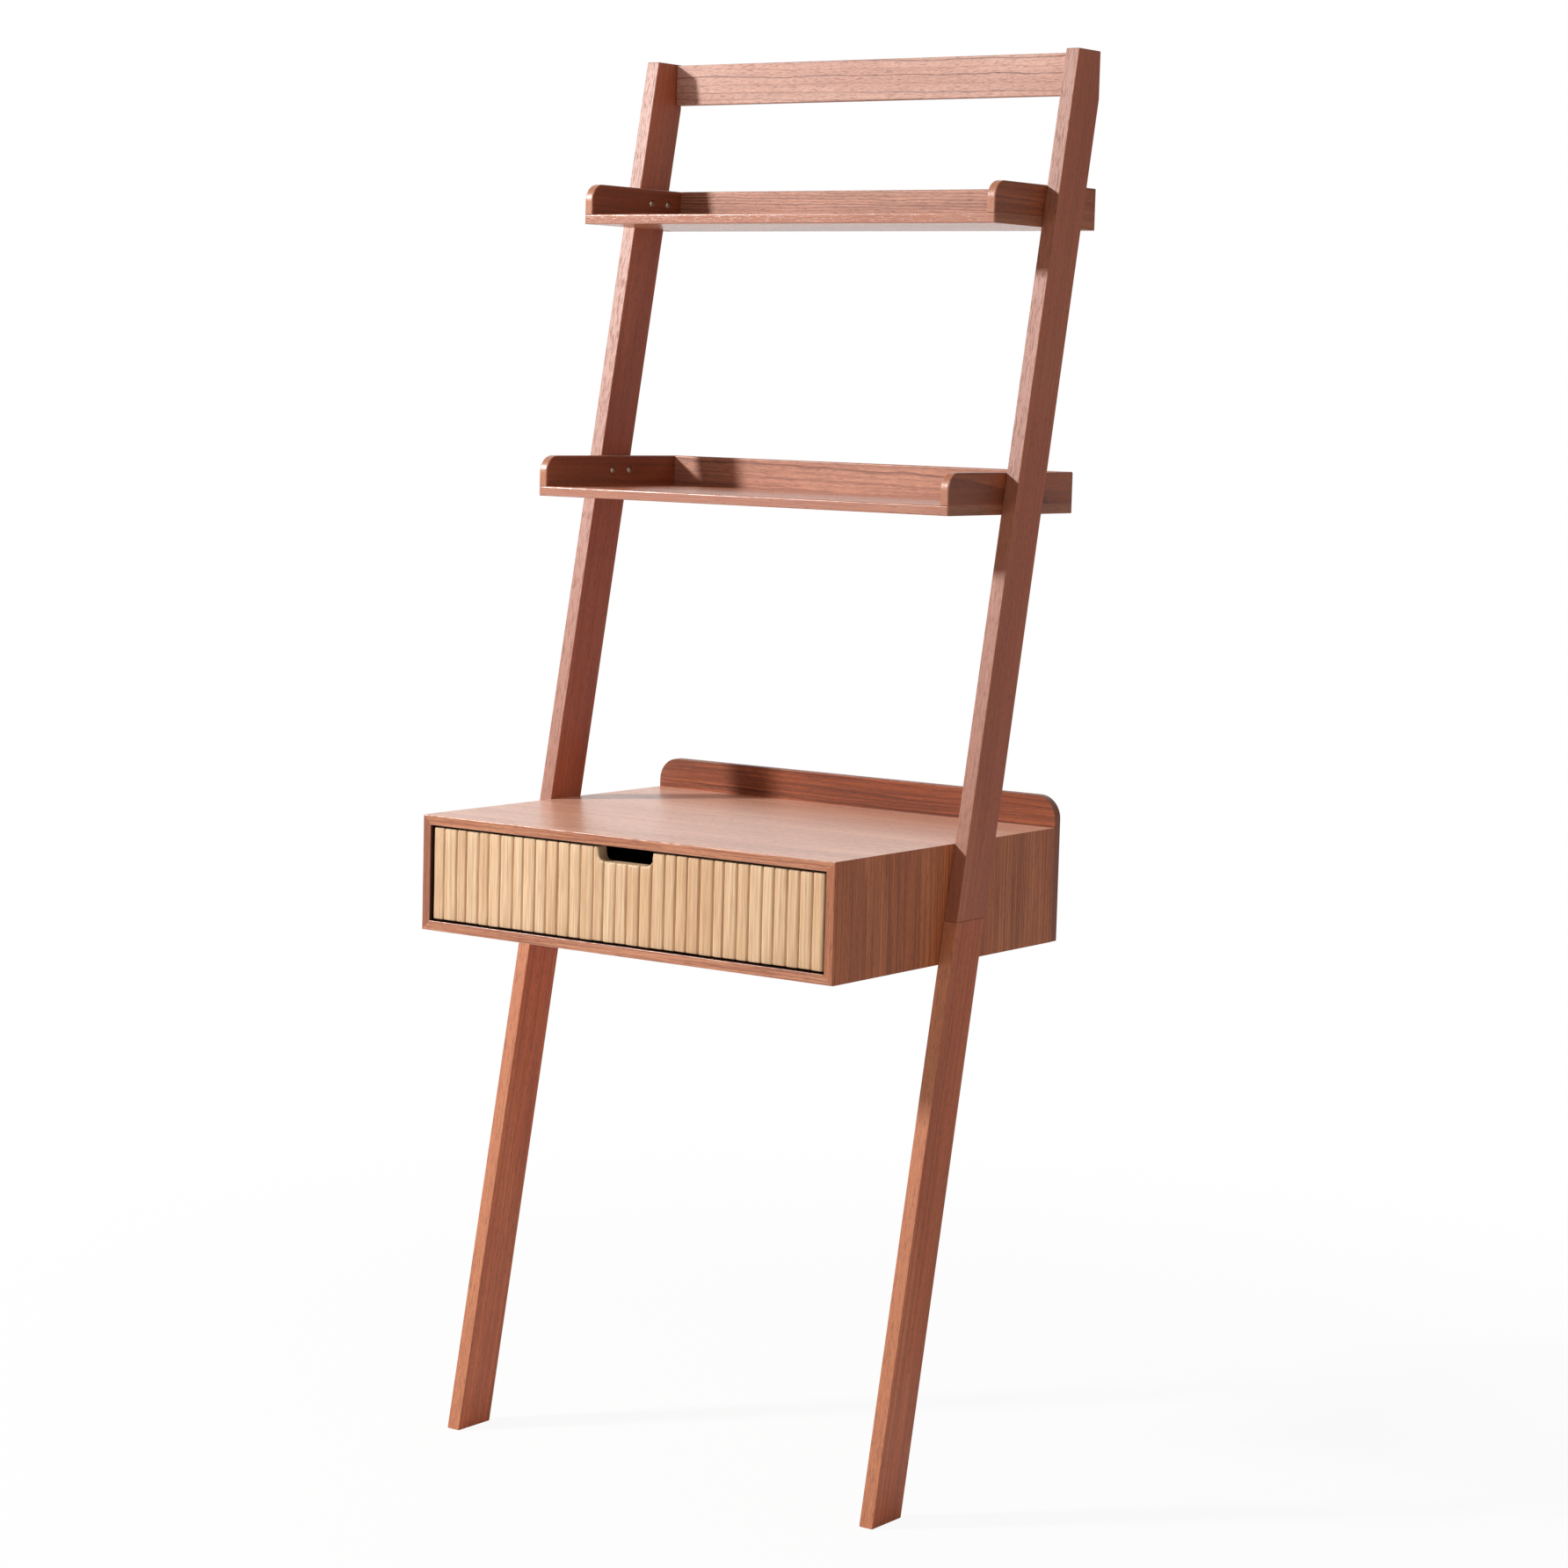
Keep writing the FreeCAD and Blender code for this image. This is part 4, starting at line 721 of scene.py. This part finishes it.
def dress_desk():
    """The desk box's panels, each with the sign of the way in which its inner face looks, so that the
    inner face gets painted shade; the back board; and the board behind the reeds."""
    for side, sign in (("top", -1.0), ("bottom", 1.0)):
        panel = walnut("satin_walnut_desk_" + side, ALONG_X, "Z", (-100, 300), line_gap=12,
                       line_depth=0.12, streaks=0.16, streak_width=9, pale="#f0b698", body="#e4a687",
                       edge_pale="#cb8761", edge_body="#9c5836", shade_inside=("Z", sign),
                       roughness=0.28, sheen=0.8)
        dress(panel, "desk_" + side + "_panel")
    for side, sign, edge_pale, edge_body in (("left", 1.0, "#a5654a", "#8f523a"),
                                             ("right", -1.0, "#b97350", "#a5603e")):
        panel = walnut("satin_walnut_desk_" + side, ALONG_Z, "X", (-300, 300), line_gap=5,
                       line_depth=0.3, drift=3.0, streaks=0.5, streak_width=2.4, pale="#d67b4a",
                       body="#c46a3c", dark="#5f3018", edge_pale=edge_pale, edge_body=edge_body,
                       shade_inside=("X", sign))
        dress(panel, "desk_" + side + "_panel")
    back = walnut("satin_walnut_desk_back", ALONG_X, "Y", (300, 700), line_gap=6, line_depth=0.7,
                  drift=3.0, wander=11, wave=(220, 34), streaks=0.5, streak_width=3, mottle=0.12,
                  fleck=(9, 1.6), pale="#b8663f", body="#a3532f", dark="#45200f",
                  edge_pale="#9c5a3e", edge_body="#87492f")
    dress(back, "desk_back_board")
    dress(oak("planed_oak_front", ALONG_X), "drawer_front_board")


def dress_drawer_and_joints():
    """The drawer's box behind its front, and the dowels and splines."""
    dress(birch_ply("sanded_birch_ply_sides", ALONG_Y, "X"), "drawer_left_side", "drawer_right_side")
    dress(birch_ply("sanded_birch_ply_back", ALONG_X, "Y"), "drawer_back")
    dress(birch_ply("sanded_birch_ply_bottom", ALONG_X, "Z"), "drawer_bottom")
    dress(beech("turned_beech_seam_dowels", ALONG_STILE), "stile_joint_dowels")
    dress(beech("turned_beech_rail_dowels", ALONG_X), "rail_dowels")
    dress(beech("sawn_beech_splines", ALONG_Y), "desk_corner_splines")
    dress(beech("turned_beech_front_dowels", ALONG_Y), "drawer_front_dowels")


# Stamped or headed steel, zinc plated: a flat grey, in patches a centimetre or so across.
ZINC = plated("zinc_plated_steel", "#c6c6c6", "#b2b3b5", 0.3, 0.4, (14, 14, 14))
# Headed and tumbled steel, nickel plated: a fine grain, warmer and brighter than zinc.
NICKEL = plated("nickel_plated_steel", "#e4dfd5", "#d2ccc0", 0.3, 0.38, (2, 2, 2))
# Brass as it leaves the lathe, with fine marks round the nuts' axis, which is X.
BRASS = plated("turned_brass", "#d1a95a", "#b88f42", 0.3, 0.42, (1, 3, 3))


def dress_metalwork():
    """The fittings that keep the frame's own shapes: slides, studs, cams, hanger plates and nuts."""
    slides = [side + "_slide_" + member + "_member" for side in ("left", "right")
              for member in ("cabinet", "middle", "drawer")]
    dress(ZINC, "stile_joint_studs", "rail_cam_locks", "wall_hanger_plates", *slides)
    dress(NICKEL, "rail_cam_bolts")
    dress(BRASS, "desk_insert_nuts", "middle_shelf_insert_nuts", "top_shelf_insert_nuts")


SCREWS = (                      # node, body, the way its shanks point on the right, head
    ("desk_back_screws", "desk_frame", (0, -1, 0), COUNTERSUNK),
    ("middle_shelf_screws", "desk_frame", (0, 0, 1), COUNTERSUNK),
    ("top_shelf_screws", "desk_frame", (0, 0, 1), COUNTERSUNK),
    ("top_shelf_packer_screws", "desk_frame", (0, -1, 0), COUNTERSUNK),
    ("hanger_plate_screws", "desk_frame", (0, -1, 0), COUNTERSUNK_PLATE),
    ("drawer_back_screws", "drawer", (-1, 0, 0), COUNTERSUNK),
    ("slide_screws_in_box", "desk_frame", (1, 0, 0), PAN_HEAD),
    ("slide_screws_in_drawer", "drawer", (-1, 0, 0), PAN_HEAD),
)


def make_bolts_and_screws():
    """All the bolts and screws, made anew with their sockets and recesses."""
    for group in ("desk", "middle_shelf", "top_shelf"):
        make_fasteners(group + "_socket_bolts", group + "_bolts", "desk_frame", "nickel_bolts", NICKEL,
                       (1, 0, 0), socket_bolt)
    for node, body, way, head in SCREWS:
        make_fasteners(node.replace("_screws", "_cross_screws"), node, body, "zinc_steel", ZINC, way,
                       cross_screw, head)


# ---- Floor, background and light ----
WHITE = (1, 1, 1, 1)
KEY_PLACE = Vector((-3.62, -3.40, 3.60))        # m
KEY_AIM = Vector((0, 0, 0.9))
KEY_SIZE = 0.6                  # m across
KEY_POWER = 315.0               # W
FILL = 0.36                     # strength of the even light from all round
STUDIO_GLOSS = 0.05             # what gloss shows of the dim studio
BACKDROP_WAY = (-0.57, 0.81, 0.0)       # from the desk to the white backdrop behind it
BACKDROP_EDGE = (0.45, 0.75)            # cosines from that way, between which the backdrop fades in
CARD_WAY = (0.95, -0.2, 0.25)           # to a white card at the desk's right, seen in gloss alone
CARD_EDGE = (0.74, 0.80)                # cosines from that way, between which the card begins
FLOOR_HALF = 30.0               # m, from the desk to the floor's edges
FLOOR_GLOSS = (2.5, 6.0)        # m from the desk, between which gloss starts to show the floor white
FLOOR_SHADOW = (0.6, 2.2)       # m from the desk, between which the shadow on the floor fades out
FLOOR_WHITE = 0.92              # share of plain white at the desk, where the shadow falls
FLOOR_PAINT = (0.9, 0.9, 0.9, 1)
FLOOR_ROUGHNESS = 0.9


def behind_the_desk(tree, way):
    """1 for a direction towards the white backdrop, 0 for the dim studio beside it."""
    toward = add(tree, "VectorMath", {0: way, 1: BACKDROP_WAY}, operation="DOT_PRODUCT")
    return add(tree, "MapRange", {"Value": toward, "From Min": BACKDROP_EDGE[0],
                                  "From Max": BACKDROP_EDGE[1]}, interpolation_type="SMOOTHSTEP")


def seen_in_gloss(tree, rays):
    """1 for rays that gloss or glass sends on, 0 for all others."""
    return add(tree, "Math", {0: rays.outputs["Is Glossy Ray"], 1: rays.outputs["Is Transmission Ray"]},
               operation="MAXIMUM")


def lay_floor():
    """A wide floor of matt white paint, which the camera sees as plain white with a part of the desk's
    shadow, and gloss as white far off towards the backdrop."""
    bm = bmesh.new()
    bmesh.ops.create_grid(bm, x_segments=1, y_segments=1, size=FLOOR_HALF)
    mesh = bpy.data.meshes.new("floor")
    bm.to_mesh(mesh)
    bm.free()
    floor = bpy.data.objects.new("floor", mesh)
    bpy.context.scene.collection.objects.link(floor)
    material, tree = new_material("white_studio_floor")
    paint = add(tree, "BsdfPrincipled", {"Base Color": FLOOR_PAINT, "Roughness": FLOOR_ROUGHNESS})
    rays = add(tree, "LightPath", {})
    gloss = seen_in_gloss(tree, rays)
    where = add(tree, "TexCoord", {})
    away = add(tree, "VectorMath", {0: where.outputs["Object"]}, operation="LENGTH")
    far = add(tree, "MapRange", {"Value": away, "From Min": FLOOR_GLOSS[0], "From Max": FLOOR_GLOSS[1]})
    way = add(tree, "VectorMath", {0: where.outputs["Object"]}, operation="NORMALIZE")
    far = add(tree, "Math", {0: far, 1: behind_the_desk(tree, way)}, operation="MULTIPLY")
    gloss = add(tree, "Math", {0: gloss, 1: far}, operation="MULTIPLY")
    seen = add(tree, "Math", {0: rays.outputs["Is Camera Ray"], 1: gloss}, operation="MAXIMUM")
    share = add(tree, "MapRange", {"Value": away, "From Min": FLOOR_SHADOW[0], "From Max": FLOOR_SHADOW[1],
                                   "To Min": FLOOR_WHITE}, interpolation_type="SMOOTHSTEP")
    share = add(tree, "Math", {0: share, 1: seen}, operation="MULTIPLY")
    white = add(tree, "Emission", {"Color": WHITE, "Strength": 1.0})
    surface = add(tree, "MixShader", {0: share, 1: paint, 2: white})
    add(tree, "OutputMaterial", {"Surface": surface})
    mesh.materials.append(material)


def light_world():
    """Even light from all round. The camera sees the world white, and gloss sees the white backdrop
    and the card in a dim studio."""
    world = bpy.data.worlds.new("studio")
    bpy.context.scene.world = world
    world.use_nodes = True
    tree = world.node_tree
    tree.nodes.clear()
    rays = add(tree, "LightPath", {})
    gloss = seen_in_gloss(tree, rays)
    way = add(tree, "TexCoord", {})
    card = add(tree, "VectorMath", {0: way.outputs["Generated"], 1: CARD_WAY}, operation="DOT_PRODUCT")
    card = add(tree, "MapRange", {"Value": card, "From Min": CARD_EDGE[0], "From Max": CARD_EDGE[1]})
    bright = add(tree, "Math", {0: behind_the_desk(tree, way.outputs["Generated"]), 1: card},
                 operation="MAXIMUM")
    shown = add(tree, "Math", {0: bright, 1: STUDIO_GLOSS}, operation="MAXIMUM")
    level = add(tree, "Mix", {"Factor": gloss, "A": FILL, "B": shown})
    level = add(tree, "Mix", {"Factor": rays.outputs["Is Camera Ray"], "A": level, "B": 1.0})
    background = add(tree, "Background", {"Color": WHITE, "Strength": level})
    add(tree, "OutputWorld", {"Surface": background})


def place_key():
    """The one lamp, a soft round one high at the front left."""
    lamp = bpy.data.lights.new("key", "AREA")
    lamp.shape = "DISK"
    lamp.size = KEY_SIZE
    lamp.energy = KEY_POWER
    key = bpy.data.objects.new("key", lamp)
    key.location = KEY_PLACE
    key.rotation_mode = "QUATERNION"
    key.rotation_quaternion = (KEY_AIM - KEY_PLACE).to_track_quat("-Z", "Y")
    bpy.context.scene.collection.objects.link(key)


place_camera()
dress_stiles()
dress_shelves()
dress_desk()
dress_drawer_and_joints()
dress_metalwork()
make_bolts_and_screws()
cut_out(make_reeds(), notch_cutter())
lay_floor()
light_world()
place_key()
bpy.context.scene.view_settings.view_transform = "Standard"
